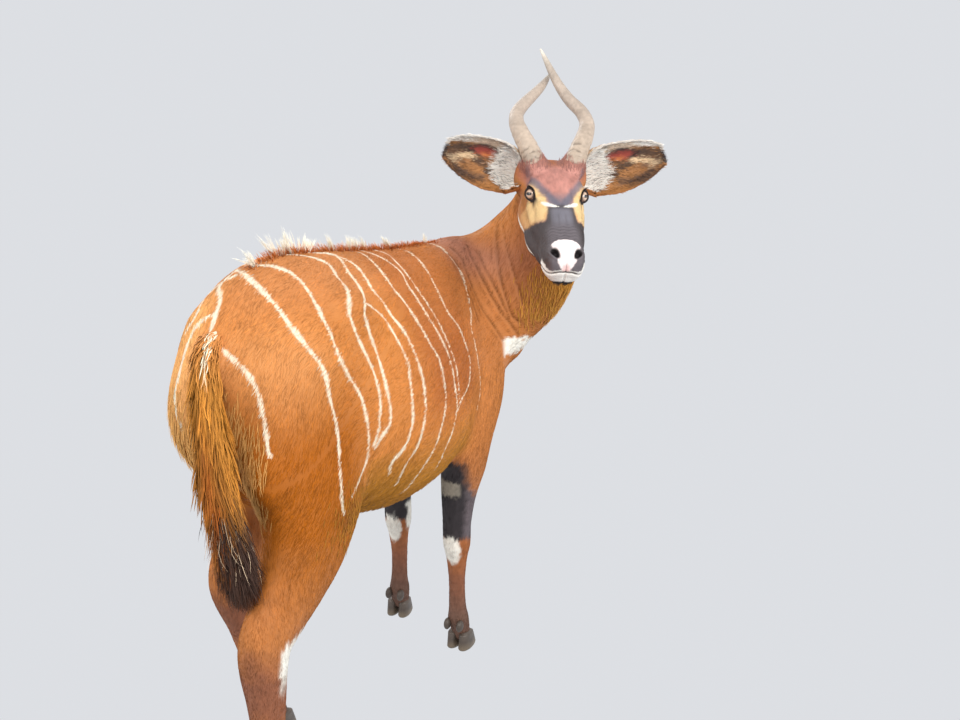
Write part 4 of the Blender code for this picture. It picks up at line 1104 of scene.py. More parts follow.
def head_colour(q):
    """Colours of the head by its own coordinates."""
    r, a, h = np.abs(q[:, 0]), q[:, 1], q[:, 2]
    jag = 0.0036 * (grain(q, 0.006, 5) - 0.5) + 0.0030 * (grain(q, 0.0022, 6) - 0.5)
    blotch = grain(q, 0.012, 7) * 0.5 + grain(q * np.array([1.0, 0.4, 1.0]), 0.004, 17) * 0.5
    colour = FOREHEAD_TONE * (0.74 + 0.50 * blotch)[:, None]
    low = smooth(a + jag * 2, 0.026, 0.062) * smooth(r, 0.045, 0.020)
    colour = layered(
        colour,
        (FOREHEAD_LOW, low * 0.85),
        (BROW_TONE, smooth(a, -0.05, -0.11)),
        (JAW_TONE, smooth(h, -0.005, -0.030) * smooth(r, 0.035, 0.05)),
    )
    # pale gold round the eye
    for side in (-1, 1):
        _, far, m = eye_polar(q, side)
        gold = smooth(m + jag * 30, 2.15, 1.65) * (far < 0.045) * smooth(a, -0.034, -0.018)
        colour = mixed(colour, SPOT_TONE, gold * 0.80)
    # dark mask: a thin arch over each eye that runs into the bridge, and the muzzle
    gap, along = off_path(r, a, BROW_ARCH)
    width = np.interp(along, [0, 0.25, 0.6, 1], [0.0056, 0.0086, 0.0100, 0.0105])
    arch = smooth(gap + jag * 0.7, width * 1.5, width * 0.25) * smooth(h, -0.020, 0.000)
    colour = mixed(colour, ARCH_TONE, arch * (0.82 + 0.15 * smooth(along, 0.4, 0.9)))
    inner = 0.0335 + 0.12 * np.maximum(a - 0.080, 0)
    ceiling = 0.116 - 0.84 * np.maximum(0.005 - h, 0) - 1.4 * np.maximum(h - 0.006, 0)
    beyond = np.where(r < inner, a - 0.076, a - ceiling) + jag * 1.3
    dark = smooth(beyond, -0.007, 0.007) * smooth(h, -0.125, -0.100)
    colour = mixed(colour, MUZZLE_SIDE, dark)
    crown = smooth(r, 0.040, 0.014) * smooth(h, -0.012, 0.0)
    # painted sheen: the top of the bridge a lighter grey, partly its own grey
    colour = mixed(colour, BRIDGE_SHEEN_TONE, dark * crown * smooth(a, 0.074, 0.095) * smooth(a, 0.175, 0.120)
                   * 0.8)
    rims = bell(r, 0.031, 0.0035) * smooth(a, 0.080, 0.095) * smooth(a, 0.175, 0.140) * smooth(h, -0.01, 0.0)
    colour = mixed(colour, MUZZLE_SIDE, rims * 0.6)
    seam = bell(r, 0.009, 0.0022) * smooth(a, 0.095, 0.115) * smooth(a, 0.165, 0.140) * crown
    colour = mixed(colour, MUZZLE_SIDE, seam * 0.35)
    colour = mixed(colour, MUZZLE_TONE, dark * smooth(r, 0.050, 0.030) * smooth(a, 0.115, 0.160) * 0.8)
    # painted shade in the troughs of the wrinkles across the bridge
    colour = colour * (1 - 0.16 * smooth(wrinkles(r, a, h), 0.0, -0.9) * smooth(blotch, 0.35, 0.60))[:, None]
    # pale gold cheeks that darken downward
    floor = np.where(r < 0.048, 0.020 + 2.0 * (0.048 - r), 0.020 - 0.6 * (r - 0.048))
    cheek = (smooth(a - floor + jag, -0.010, 0.008) * smooth(a - ceiling + jag * 2, 0.006, -0.012)
             * smooth(r - inner + jag, -0.004, 0.005) * smooth(h, -0.095, -0.045))
    colour = mixed(colour, CHEEK_TONE, cheek)
    outer = smooth(h, -0.020, -0.060) * cheek
    colour = mixed(colour, CHEEK_LOW, outer * 0.75)
    colour = mixed(colour, CHEEK_LOW, cheek * smooth(r - inner, 0.010, 0.001) * smooth(a, 0.085, 0.100) * 0.7)
    # white marks below the eyes, nearly meeting over the bridge, and the white line along the jaw
    gap, along = off_path(r, a, CHEVRON)
    width = np.interp(along, [0, 0.35, 0.75, 1], [0.0015, 0.0050, 0.0034, 0.0010])
    colour = mixed(colour, WHITE_TONE, smooth(gap + jag * 0.4, width * 1.3, width * 0.7)
                   * smooth(h, 0.0, 0.006))
    gap, along = off_path(a, h, JAW_LINE)
    width = np.interp(along, [0, 0.3, 0.60, 0.68, 0.80, 1], [0.0014, 0.0052, 0.0044, 0.0018, 0.0044, 0.0012])
    colour = mixed(colour, WHITE_TONE, smooth(gap + jag * 0.4, width * 1.3, width * 0.7)
                   * smooth(r, 0.034, 0.046))
    # skin round the eye and the dark line running from its corner
    for side in (-1, 1):
        _, far, m = eye_polar(q, side)
        colour = mixed(colour, LID_TONE, smooth(m, 1.33, 1.15) * (far < 0.035))
    tear = np.abs(h - 0.004 + 0.30 * (a - 0.026)) + 0.15 * np.maximum(0.026 - a, 0)
    tear = (smooth(tear, 0.0040, 0.0018) * smooth(a, 0.022, 0.028) * smooth(a, 0.056, 0.040)
            * smooth(r, 0.035, 0.042))
    colour = mixed(colour, LID_TONE, tear * 0.85)
    # nose pad, nostrils, lips and chin
    line = h - mouth_height(q[:, 0])
    across = np.interp(line, [0.0, 0.008, 0.022, 0.032], [0.008, 0.011, 0.0175, 0.0225])
    across = np.maximum(across, np.interp(a, [0.212, 0.224, 0.234], [0.0345, 0.0310, 0.0]))
    top = 0.1940 + 22 * np.maximum(r - 0.014, 0) ** 2
    pad = smooth(a - top + jag * 0.5, -0.002, 0.002) * smooth(r + jag * 0.4, across + 0.002, across - 0.002)
    colour = mixed(colour, PAD_TONE, pad * smooth(line, 0.002, 0.006))
    upper = 0.0085 + 0.16 * np.clip(r - 0.018, 0, 0.03)
    lips = smooth(a + 0.20 * line, 0.203, 0.214) * smooth(line + jag, -0.035, -0.031)
    lips = lips * smooth(line + jag, upper + 0.002, upper - 0.002)
    colour = mixed(colour, LIP_TONE, lips)
    smudge = (bell(line, 0.0110, 0.0030) * smooth(r, 0.007, 0.011) * smooth(r, 0.030, 0.020)
              * smooth(a, 0.225, 0.24))
    colour = mixed(colour, MUZZLE_SIDE, smudge * 0.6)
    pink = (smooth(r, 0.012, 0.005) * smooth(line, 0.002, 0.006) * smooth(h, -0.014, -0.030)
            * smooth(a, 0.225, 0.24))
    colour = mixed(colour, PINK_TONE, pink * 0.9)
    # painted shade in the groove down the middle of the nose pad
    groove = (bell(r, 0, 0.0012) * smooth(a, 0.222, 0.235) * smooth(h, -0.016, -0.026)
              * smooth(line, 0.0, 0.003))
    colour = mixed(colour, MUZZLE_SIDE, groove * 0.5)
    # painted shade: the nostrils darker round their rims and near black in their hollows, and the mouth line
    # dark where the lips meet
    hollow = nostril(q)
    colour = layered(
        colour,
        (MUZZLE_SIDE, smooth(hollow, 1.45, 1.15) * smooth(a, 0.19, 0.21) * 0.5),
        (NOSTRIL_SHADE_TONE, smooth(hollow, 1.22, 0.92) * smooth(a, 0.19, 0.21)),
        (MOUTH_SHADE_TONE, smooth(np.abs(line), 0.0028, 0.0012) * smooth(a, 0.155, 0.170)),
    )
    chin = smooth(line, -0.034, -0.039) * smooth(a, 0.13, 0.16) * smooth(r, 0.045, 0.035)
    return mixed(colour, CHIN_TONE, chin)


# Markings of the head: outward and along the face, or along the face and up
BROW_ARCH = [(0.073, -0.062), (0.067, -0.036), (0.0600, -0.012), (0.0470, 0.009), (0.0366, 0.023),
             (0.0280, 0.042), (0.0190, 0.058), (0.0080, 0.072), (0.0, 0.078)]
CHEVRON = [(0.0450, 0.0560), (0.0390, 0.0630), (0.0290, 0.0715), (0.0170, 0.0775), (0.0060, 0.0800)]
JAW_LINE = [(-0.085, -0.094), (0.000, -0.090), (0.050, -0.091), (0.090, -0.092), (0.132, -0.090)]


# Which way the hair lies
def lie(p, n):
    """The direction along the skin in which the hair points."""
    f, _, u = body_coords(p)
    q = head_coords(p)
    way = np.repeat(place(-1.0, 0, -0.30)[None], len(p), 0)
    way = layered(
        way,
        (place(-0.45, 0, -0.9), smooth(f, -0.30, -0.50) * smooth(u, 1.10, 0.95)),
        (place(-0.55, 0, -0.9), smooth(u, 0.85, 0.70) * (np.abs(f + 0.35) < 0.28)),
        (place(-0.35, 0, -1.0), smooth(u, 0.92, 0.75) * smooth(f, 0.20, 0.30)),
    )
    neck = smooth(f, 0.40, 0.52) * smooth(u, 0.92, 1.04)
    way = mixed(way, place(-0.10, 0.35, -1.0), neck)
    way = mixed(way, place(0, 0, -1.0), smooth(u, 0.62, 0.52))
    share = head_share(q) * smooth(q[:, 1], -0.16, -0.08)
    way = mixed(way, -FACE, share)
    for side in (-1, 1):
        d, far, m = eye_polar(q, side)
        way = mixed(way, d @ np.stack([RIGHT, FACE, CROWN]) / 0.02 - FACE * 0.4, smooth(m, 2.2, 1.2)
                    * (far < 0.045))
    swirl = np.stack([grain(p, 0.05, 21 + k) - 0.5 for k in range(3)], 1)
    return square_to(normalised(way) + swirl * 0.45, n)


# The coat
def streaks(p, way, size, seed):
    """Noise drawn out along the hair's direction, mostly from -1 to 1."""
    total = sum(grain(p + way * (i * size * 1.6), size, seed) for i in range(-2, 3))
    return np.clip((total / 5 - 0.5) * 4, -1.2, 1.2)


def scatter(v, normals, t, density):
    """Places spread evenly over triangles: where, outward direction and triangle."""
    a, b, c = v[t[:, 0]], v[t[:, 1]], v[t[:, 2]]
    area = np.linalg.norm(np.cross(b - a, c - a), axis=1) / 2
    wanted = area * density[t].mean(1)
    total = np.cumsum(wanted)
    count = int(total[-1])
    draw = (np.arange(count) + random.random(count)) * (total[-1] / count)
    k = np.minimum(np.searchsorted(total, draw), len(t) - 1)
    x, y = random.random(count), random.random(count)
    flip = x + y > 1
    x, y = np.where(flip, 1 - x, x)[:, None], np.where(flip, 1 - y, y)[:, None]
    p = a[k] + (b[k] - a[k]) * x + (c[k] - a[k]) * y
    n = normals[t[k]]
    n = normalised(n[:, 0] * (1 - x - y) + n[:, 1] * x + n[:, 2] * y)
    return p, n, k


def blades(p, n, way, length, width, lift, colour, soft=0.65):
    """Short flat tufts: each a thin wedge with a raised ridge whose root is buried in the skin.
    With their roots and outward directions, as a group for coat_piece."""
    side = np.cross(n, way)
    root = p - n * (0.0012 + width[:, None] * 0.3)
    out = p + n * (lift * 0.40)[:, None]
    left = root - side * (width / 2)[:, None]
    right = root + side * (width / 2)[:, None]
    ridge = out + way * (length * 0.42)[:, None]
    tip = p + way * length[:, None] + n * (lift * 0.35)[:, None]
    count = len(p)
    verts = np.stack([left, right, ridge, tip], 1).reshape(-1, 3)
    base = np.arange(count)[:, None] * 4
    faces = (base[:, None, :] + np.array([[0, 3, 2], [1, 2, 3], [0, 2, 1], [0, 1, 3]])[None]).reshape(-1, 3)
    lean = normalised(n + way * 0.25)
    shade = np.stack([n - side * 0.5 * (1 - soft), n + side * 0.5 * (1 - soft), lean, lean], 1).reshape(-1, 3)
    # each tuft darker at its root and lighter at its tip: partly the hair's own colour, partly painted shade
    # among the hairs
    tints = np.stack([colour * 0.66, colour * 0.66, colour, colour * 1.12], 1).reshape(-1, 3)
    return p, n, (verts, faces, normalised(shade), tints)


def locks(p, n, way, length, width, lift, curl, colour, tip_colour, steps=4, soft=0.5):
    """Long locks of three sides that taper and bend, made of several steps, as a group for coat_piece."""
    width, lift, curl = (np.broadcast_to(x, len(p)) for x in (width, lift, curl))
    side = normalised(np.cross(n, way))
    count = len(p)
    rings, shades, tints = [], [], []
    for i in range(steps):
        t = i / steps
        bend = way * (length * t)[:, None] + n * (lift * (1 - (1 - t) ** 2) * 0.7)[:, None]
        sway = side * (curl * math.sin(t * 3.0))[:, None]
        middle = p - n * 0.002 * (i == 0) + bend + sway
        w = (width * (1 - 0.65 * t) / 2)[:, None]
        rings.append(np.stack([middle - side * w, middle + side * w, middle + n * w * 0.9], 1))
        low = n * (soft * 1.5 - 0.5)
        shades.append(np.stack([low - side * (1 - soft), low + side * (1 - soft), n + way * 0.15], 1))
        # painted shade: each lock darker toward its root
        tints.append(np.repeat((colour + (tip_colour - colour) * t ** 0.8)[:, None] * (0.75 + 0.3 * t), 3, 1))
    tip = p + way * length[:, None] + n * (lift * 0.7)[:, None] + side * (curl * math.sin(3.0))[:, None]
    rings = np.concatenate(rings, 1)
    verts = np.concatenate([rings, tip[:, None]], 1)
    shades = np.concatenate(shades + [(n + way * 0.3)[:, None]], 1)
    # painted light: the very tip a little lighter than the tip colour
    tints = np.concatenate(tints + [tip_colour[:, None] * 1.05], 1)
    faces = [(0, 2, 1)]
    for i in range(steps - 1):
        for j in range(3):
            k = (j + 1) % 3
            a, b, c, d = i * 3 + j, i * 3 + k, i * 3 + 3 + k, i * 3 + 3 + j
            faces += [(a, b, c), (a, c, d)]
    last = (steps - 1) * 3
    faces += [(last, last + 1, last + 3), (last + 1, last + 2, last + 3), (last + 2, last, last + 3)]
    per = steps * 3 + 1
    faces = (np.arange(count)[:, None, None] * per + np.array(faces)[None]).reshape(-1, 3)
    return p, n, (verts.reshape(-1, 3), faces, normalised(shades.reshape(-1, 3)), tints.reshape(-1, 3))


def coat_piece(name, groups, material):
    """One piece of coat from groups of tufts, shaded softly and unwrapped by the roots."""
    verts, faces, shades, tints, sizes = [], [], [], [], []
    start = 0
    for p, _, (v, f, s, c) in groups:
        verts.append(v)
        faces.append(f + start)
        shades.append(s)
        tints.append(c)
        sizes.append(np.full(len(p), len(f) // len(p)))
        start += len(v)
    mesh = mesh_from(name, np.vstack(verts), np.vstack(faces))
    shade_smooth(mesh)
    paint(mesh, np.clip(np.vstack(tints), 0, 1))
    mesh.normals_split_custom_set_from_vertices(np.vstack(shades).astype(np.float32))
    roots, outward = (np.vstack([group[k] for group in groups]) for k in (0, 1))
    bake_map(mesh, box_unwrap(roots, outward), np.concatenate(sizes))
    piece(name, mesh, material)


def bake_map(mesh, spot, per_tuft):
    """Every tuft gets a small patch of the map at its root's place on the skin's own shape."""
    tuft = np.repeat(np.arange(len(spot)), per_tuft)
    corner = np.array([[0, 0], [1, 0], [0.5, 1]]) * BAKE_PATCH
    uv = spot[tuft][:, None] + corner[None] * np.ones((len(tuft), 1, 1))
    layer = mesh.uv_layers.new(name="OFBake")
    layer.data.foreach_set("uv", np.clip(uv, 0, 1).astype(np.float32).ravel())


def box_unwrap(p, n):
    """Places on six tiles, one for each direction the skin faces."""
    side = np.abs(n).argmax(1)
    sign = np.take_along_axis(n, side[:, None], 1)[:, 0] > 0
    low, high = p.min(0) - 0.001, p.max(0) + 0.001
    size = (high - low).max()
    q = (p - low) / size
    a = np.where(side == 0, q[:, 1], q[:, 0])
    b = np.where(side == 2, q[:, 1], q[:, 2])
    tile = side * 2 + sign
    u = (tile % 3 + 0.01 + a * 0.97) / 3
    v = (tile // 3 + 0.01 + b * 0.97) / 2
    return np.stack([u, v], 1) * (1 - BAKE_PATCH)


BAKE_PATCH = 0.003


# Short tufts: length, width, lift and number per square metre
FUR_BODY = (0.0170, 0.0034, 0.0019, 62000.0)
FUR_LEGS = (0.0095, 0.0027, 0.0011, 76000.0)
FUR_HEAD = (0.0058, 0.00145, 0.0007, 265000.0)
FUR_MUZZLE = (0.0032, 0.0010, 0.0004)


def fur_lengths(p):
    """Length, width, lift and number per square metre of the short tufts at points of the skin."""
    q = head_coords(p)
    head = head_share(q)
    low = smooth(p[:, 2], 0.62, 0.50)
    muzzle = head * smooth(q[:, 1], 0.11, 0.19)
    size = np.repeat(np.array(FUR_BODY)[:, None], len(p), 1)
    for share, aim in ((low, FUR_LEGS), (head, FUR_HEAD)):
        size += share * (np.array(aim)[:, None] - size)
    size[:3] += muzzle * (np.array(FUR_MUZZLE)[:, None] - size[:3])
    length, width, lift, many = size
    many = many * (1 - bare_skin(q))
    for side in (-1, 1):
        _, far, m = eye_polar(q, side)
        near = smooth(m, 2.6, 1.5) * (far < 0.05)
        length += near * (0.0030 - length)
        lift += near * (0.0004 - lift)
        many = many * np.where((m < 1.22) & (far < 0.045), 0, 1)
    return length, width, lift, many


def bare_skin(q):
    """One on the nose pad and lips, where there is no coat."""
    r, a, h = np.abs(q[:, 0]), q[:, 1], q[:, 2]
    line = h - mouth_height(q[:, 0])
    pad = smooth(a, 0.190, 0.198) * smooth(r, 0.046, 0.040) * smooth(line, 0.003, 0.010)
    lips = smooth(np.abs(line), 0.0085, 0.0050) * smooth(a, 0.155, 0.175)
    return np.maximum(pad, lips)


def coat_depth(p):
    """How far the skin lies under the coat's tips."""
    q = head_coords(p)
    head = head_share(q)
    depth = BODY_COAT + smooth(p[:, 2], 0.62, 0.50) * (LEG_COAT - BODY_COAT)
    depth += head * (HEAD_COAT - depth)
    depth += bare_skin(q) * head * (BARE_COAT - depth)
    for side in (-1, 1):
        _, far, m = eye_polar(q, side)
        depth = depth * np.where(far < 0.05, smooth(m, 1.2, 2.2), 1)
    return depth


def short_coat(v, normals, t, material):
    """The short coat over the whole skin, in pieces by region."""
    _, _, _, many = fur_lengths(v)
    p, n, _ = scatter(v, normals, t, many * DENSITY)
    length, width, lift, _ = fur_lengths(p)
    count = len(p)
    vary = 0.75 + 0.5 * random.random(count)
    way = lie(p, n)
    clump = np.clip(1 + 0.9 * streaks(p, way, 0.007, 40), 0.35, 2.2)
    side = np.cross(n, way)
    way = normalised(way + side * (random.normal(0, 0.16, count))[:, None])
    colour = coat_colour(p + way * (length * (0.30 + 0.50 * random.random(count)))[:, None], n)
    comb = streaks(p, way, 0.0045, 44) * 0.6 + streaks(p, way, 0.014, 45) * 0.5
    colour = colour * (1 + 0.30 * comb)[:, None]
    colour = colour * (0.70 + 0.52 * random.random(count) ** 1.2)[:, None]
    scale = 1.0 / math.sqrt(DENSITY)
    width = width * (0.75 + 0.5 * random.random(count)) * scale
    data = (p, n, way, length * vary, width, lift * vary * clump, colour)
    chunks = coat_regions(p)
    for name in sorted(set(chunks)):
        keep = np.nonzero(chunks == name)[0]
        parts = -(-len(keep) // TUFTS_PER_PIECE)
        order = keep[np.argsort(p[keep, 1], kind="stable")]
        for i in range(parts):
            rows = order[i * len(order) // parts:(i + 1) * len(order) // parts]
            coat_piece(f"coat_{name}_{i + 1}", [blades(*[x[rows] for x in data])], material)


TUFTS_PER_PIECE = 48000


def coat_regions(p):
    f, l, u = body_coords(p)
    q = head_coords(p)
    names = np.where(l < 0, "right", "left").astype("<U12")
    names[u < 0.60] = "legs"
    names[(f > 0.42) & (u > 0.92)] = "neck"
    names[head_share(q) > 0.5] = "head"
    return names


# Ears
def ear_colour(s, v, inner):
    """Colours of the ear by the place from root to tip and across, lower rim -1 to upper rim +1."""
    wrap = ear_wrap(s)
    v = np.sin(wrap * v) / np.maximum(np.sin(wrap), 0.85)
    back = mixed(EAR_BACK, EAR_RIM, smooth(s, 0.84, 0.97) * 0.7)
    back = mixed(back, EAR_PALE, smooth(v, 0.90, 0.99) * 0.6)
    cup = mixed(EAR_OCHRE, EAR_CREAM, smooth(v, 0.42, 0.66) * smooth(s, 0.80, 0.66) * 0.70)
    mottle = grain(np.stack([s * 8, v * 3, 0 * s], 1), 1.0, 31)
    cup = mixed(cup, EAR_DARK, smooth(mottle, 0.42, 0.70) * smooth(s, 0.42, 0.52) * 0.75)
    cup = mixed(cup, EAR_DARK, bell(s, 0.80, 0.17) * bell(v, 0.46, 0.24) * 0.85)
    gap, _ = off_path(s, v * 0.4, [(0.72, 0.05), (0.84, -0.03), (0.93, -0.20)])
    cup = layered(
        cup,
        (EAR_CREAM, smooth(gap + 0.07 * (mottle - 0.5), 0.080, 0.030) * 0.9),
        (EAR_RIM, bell(s, 0.97, 0.055) * bell(v, -0.15, 0.60) * 0.9),
        (EAR_RIM, smooth(s, 0.50, 0.62) * smooth(s, 0.98, 0.88) * bell(v, -0.80, 0.24) * 0.9),
    )
    pit = np.hypot((s - 0.585) / 0.165, (v - 0.45) / 0.27)
    cup = layered(
        cup,
        (EAR_RIM, smooth(pit, 1.40, 1.0) * 0.9),
        (EAR_PIT, smooth(pit, 1.0, 0.70)),
        (EAR_RIM, smooth(pit, 1.3, 0.9) * smooth(v, 0.50, 0.68) * 0.85),
        (EAR_GLOW, smooth(pit, 1.0, 0.8) * smooth(v, 0.46, 0.26) * smooth(s, 0.66, 0.58) * 0.9),
    )
    for middle, height, long, wide in ((0.60, -0.06, 0.12, 0.16), (0.46, -0.34, 0.070, 0.16),
                                       (0.27, -0.60, 0.10, 0.12)):
        spot = np.hypot((s - middle) / long, (v - height) / wide)
        cup = mixed(cup, EAR_DARK * 0.8, smooth(spot + 0.8 * (mottle - 0.5), 1.2, 0.6) * 0.9)
    reach = np.interp(v, [-0.80, -0.62, -0.53, -0.16, 0.36, 0.65, 0.85],
                      [0.06, 0.20, 0.36, 0.45, 0.42, 0.44, 0.42])
    fine = grain(np.stack([s * 6, v * 26, 0 * s], 1), 1.0, 33)
    cup = layered(
        cup,
        (EAR_WHITE, smooth(s - reach + 0.10 * (fine - 0.5), 0.03, -0.02)),
        (EAR_DARK, smooth(fine, 0.62, 0.85) * smooth(s - reach, -0.22, -0.02)
         * smooth(s - reach, 0.03, 0.0) * 0.7),
        (EAR_WHITE, smooth(v, 0.70, 0.84) * (0.45 + 0.55 * smooth(s, 0.66, 0.78))),
    )
    return mixed(back, cup, inner)


def ear_mesh(side, along=52, across=45):
    """The ear's verts, faces, colours and, for the coat, its inner and outer grids."""
    outer, inward = ear_sheet(side, along, across)
    s = np.linspace(0, 1, along)[:, None] * np.ones((1, across))
    v = np.linspace(-1, 1, across)[None] * np.ones((along, 1)) * ear_up(side)
    edge = np.minimum(1 - np.abs(v), (1 - s) * 1.4)
    wall = EAR_WALL * smooth(edge, -0.05, 0.22) * 0.85 + 0.0012
    ribs = (0.0013 * np.cos(v * 15) * smooth(s, 0.10, 0.25) * smooth(s, 0.85, 0.65)
            * smooth(np.abs(v), 0.9, 0.6))
    outer = outer + inward * 0.0008
    inner = outer + inward * (wall + ribs)[..., None]
    n = along * across
    i, j = np.meshgrid(np.arange(along - 1), np.arange(across - 1), indexing="ij")
    p = (i * across + j).ravel()
    quads = [np.stack([p, p + 1, p + across + 1, p + across], 1),
             np.stack([n + p, n + p + across, n + p + across + 1, n + p + 1], 1)]
    rim = [k * across for k in range(along)]
    rim += [(along - 1) * across + k for k in range(1, across)]
    rim += [k * across + across - 1 for k in range(along - 2, -1, -1)]
    rim += list(range(across - 2, 0, -1))
    rim = np.array(rim)
    nxt = np.roll(rim, -1)
    quads.append(np.stack([rim, nxt, n + nxt, n + rim], 1))
    faces = np.vstack(quads)
    verts = np.vstack([outer.reshape(-1, 3), inner.reshape(-1, 3)])
    tints = np.vstack([ear_colour(s.ravel(), v.ravel(), np.full(n, inside)) for inside in (0.0, 1.0)])
    return verts, faces, tints, (outer, inner, inward, s, v)


def ear_up(side):
    """The sign that makes the across axis run from the lower rim to the upper one."""
    grid, _ = ear_sheet(side, 9, 9)
    return 1.0 if (grid[4, 8] - grid[4, 0]) @ CROWN > 0 else -1.0


def grid_scatter(grid, s, v, inward, count):
    """Random places on a grid surface with their across and root to tip directions."""
    i = random.random(count) * (grid.shape[0] - 1.001)
    j = random.random(count) * (grid.shape[1] - 1.001)
    a, b = i.astype(int), j.astype(int)
    x, y = (i - a)[:, None], (j - b)[:, None]

    def read(field):
        field = field if field.ndim == 3 else field[..., None]
        return ((field[a, b] * (1 - x) + field[a + 1, b] * x) * (1 - y)
                + (field[a, b + 1] * (1 - x) + field[a + 1, b + 1] * x) * y)
    p = read(grid)
    along = normalised(grid[a + 1, b] - grid[a, b])
    over = normalised(grid[a, b + 1] - grid[a, b])
    return p, read(s)[:, 0], read(v)[:, 0], normalised(read(inward)), along, over


# How many tufts and locks an ear carries
EAR_BACK_TUFTS = 4500
EAR_CUP_TUFTS = 8000
EAR_ROOT_LOCKS = 1050
EAR_CUP_LOCKS = 1300
EAR_UPPER_FRINGE = 560
EAR_LOWER_FRINGE = 320
EAR_TIP_FRINGE = 240


def stray_colour(s, v, stray, inner):
    """The ear's colours read a little off each place, by random steps along and across."""
    step = random.normal(0, 1, (len(s), 2)) * stray
    return ear_colour(np.clip(s + step[:, 0], 0, 1), np.clip(v + step[:, 1], -1, 1), np.full(len(s), inner))


def ear_coat(side, grids, material):
    """The hair of one ear: short on both faces, long white at the root, and fringes at the rims."""
    outer, inner, inward, s, v = grids
    name = "left" if side < 0 else "right"
    up = ear_up(side)
    groups = []
    for grid, out, inside in ((outer, -1.0, 0.0), (inner, 1.0, 1.0)):
        count = int((EAR_CUP_TUFTS if inside else EAR_BACK_TUFTS) * DENSITY)
        p, sp, vp, inw, along, over = grid_scatter(grid, s, v, inward, count)
        n = inw * out
        way = normalised(along + over * (up * vp * 0.5)[:, None] + over
                         * random.normal(0, 0.22, count)[:, None])
        colour = stray_colour(sp, vp, (0.028, 0.05), inside)
        colour = colour * (0.74 + 0.42 * random.random(count))[:, None]
        length = (0.0065 + 0.004 * random.random(count)) * (1 + 0.5 * inside)
        width = 0.0017 + 0.0007 * random.random(count)
        groups.append(blades(p, n, way, length, width / math.sqrt(DENSITY), np.full(count, 0.0012), colour))
    # the long white hair lying over the root of the cup
    count = int(EAR_ROOT_LOCKS * LONG_DENSITY)
    p, sp, vp, inw, along, over = grid_scatter(inner, s, v, inward, count * 6)
    reach = np.interp(vp, [-0.65, -0.45, -0.10, 0.25, 0.60], [0.10, 0.34, 0.43, 0.38, 0.36])
    chance = smooth(sp, 0.03, 0.08) * smooth(sp - reach, 0.02, -0.03) * smooth(vp, 0.85, 0.65)
    keep = np.nonzero(random.random(len(p)) < chance)[0][:count]
    p, inw, along, over, vp, sp = p[keep], inw[keep], along[keep], over[keep], vp[keep], sp[keep]
    count = len(keep)
    way = normalised(along * 0.9 - over * (up * 0.10) + inw * 0.26 + over
                     * random.normal(0, 0.24, count)[:, None])
    white = EAR_WHITE[None] * (0.95 + 0.30 * random.random(count))[:, None]
    white = mixed(white, EAR_DARK, (random.random(count) < 0.13) * 0.75)
    facing = normalised(inward[:, inward.shape[1] // 2].mean(0)[None])
    n = square_to(normalised(inw * 0.35 + facing * 0.65), way)
    groups.append(locks(p, n, way, 0.014 + 0.018 * random.random(count), 0.0018, 0.004,
                        random.normal(0, 0.002, count), white, white, 4, 0.75))
    # mottled hair inside the cup, streaming from the pit toward the rims
    many = int(EAR_CUP_LOCKS * LONG_DENSITY)
    p, sp, vp, inw, along, over = grid_scatter(inner, s, v, inward, many)
    way = along * (0.5 + 1.2 * (sp - 0.40))[:, None] + over * (up * (vp - 0.25) * 0.9)[:, None]
    way = normalised(normalised(way) + inw * 0.18 + over * random.normal(0, 0.20, many)[:, None])
    tint = stray_colour(sp, vp, (0.035, 0.07), 1.0)
    tint = tint * (0.62 + 0.62 * random.random(many))[:, None]
    keep = np.hypot((sp - 0.585) / 0.15, (vp - 0.42) / 0.3) > 0.9
    n = square_to(normalised(inw * 0.5 + facing * 0.5), way)
    data = (p, n, way, 0.008 + 0.010 * random.random(many), np.full(many, 0.0016), np.full(many, 0.002),
            random.normal(0, 0.0014, many), tint, np.clip(tint * 1.15, 0, 1))
    groups.append(locks(*[x[keep] for x in data], 3, 0.75))
    # fringes along both rims and round the tip: white above, ochre and dark below
    for sign, amount in ((up, EAR_UPPER_FRINGE), (-up, EAR_LOWER_FRINGE)):
        count = int(amount * LONG_DENSITY)
        column = int(np.argmax(v[0] * up * sign))
        line = (outer[:, column] + inner[:, column]) / 2
        k = (0.10 + 0.90 * random.random(count)) * (len(line) - 1.001)
        a = k.astype(int)
        p = line[a] + (line[a + 1] - line[a]) * (k - a)[:, None]
        along = normalised(line[a + 1] - line[a])
        outward = normalised((line - outer[:, column - 2 if column > 2 else column + 2])[a])
        inw = inward[a, outer.shape[1] // 2]
        way = normalised(along * 0.8 + outward * 0.45 + inw * random.normal(0.10, 0.30, count)[:, None])
        n = square_to(inw + CROWN * 0.5, way)
        share = a / (len(line) - 1)
        tint = EAR_WHITE if sign == up else mixed(EAR_BACK, EAR_RIM, smooth(share, 0.5, 0.8) * 0.8)
        tint = tint * (0.82 + 0.25 * random.random(count))[:, None]
        size = (0.010 + 0.011 * random.random(count)) * (1.0 if sign == up else 0.8)
        groups.append(locks(p, n, way, size, 0.0018, 0.001, random.normal(0, 0.0015, count), tint, tint,
                            3, 0.75))
    count = int(EAR_TIP_FRINGE * LONG_DENSITY)
    j = random.random(count) * (outer.shape[1] - 1.001)
    b = j.astype(int)
    p = outer[-1, b] + (outer[-1, b + 1] - outer[-1, b]) * (j - b)[:, None]
    along = normalised(outer[-1, b] - outer[-4, b])
    way = normalised(along + random.normal(0, 0.22, (count, 3)))
    n = square_to(inward[-1, b], way)
    tint = mixed(EAR_RIM, EAR_WHITE, smooth(v[-1, b], 0.25, 0.6))
    tint = tint * (0.8 + 0.3 * random.random(count))[:, None]
    groups.append(locks(p, n, way, 0.009 + 0.010 * random.random(count), 0.0014, 0.001,
                        random.normal(0, 0.0015, count), tint, tint, 3, 0.75))
    coat_piece(f"coat_ear_{name}", groups, material)


# Horns
HORN_RINGS = 230
HORN_AROUND = 44


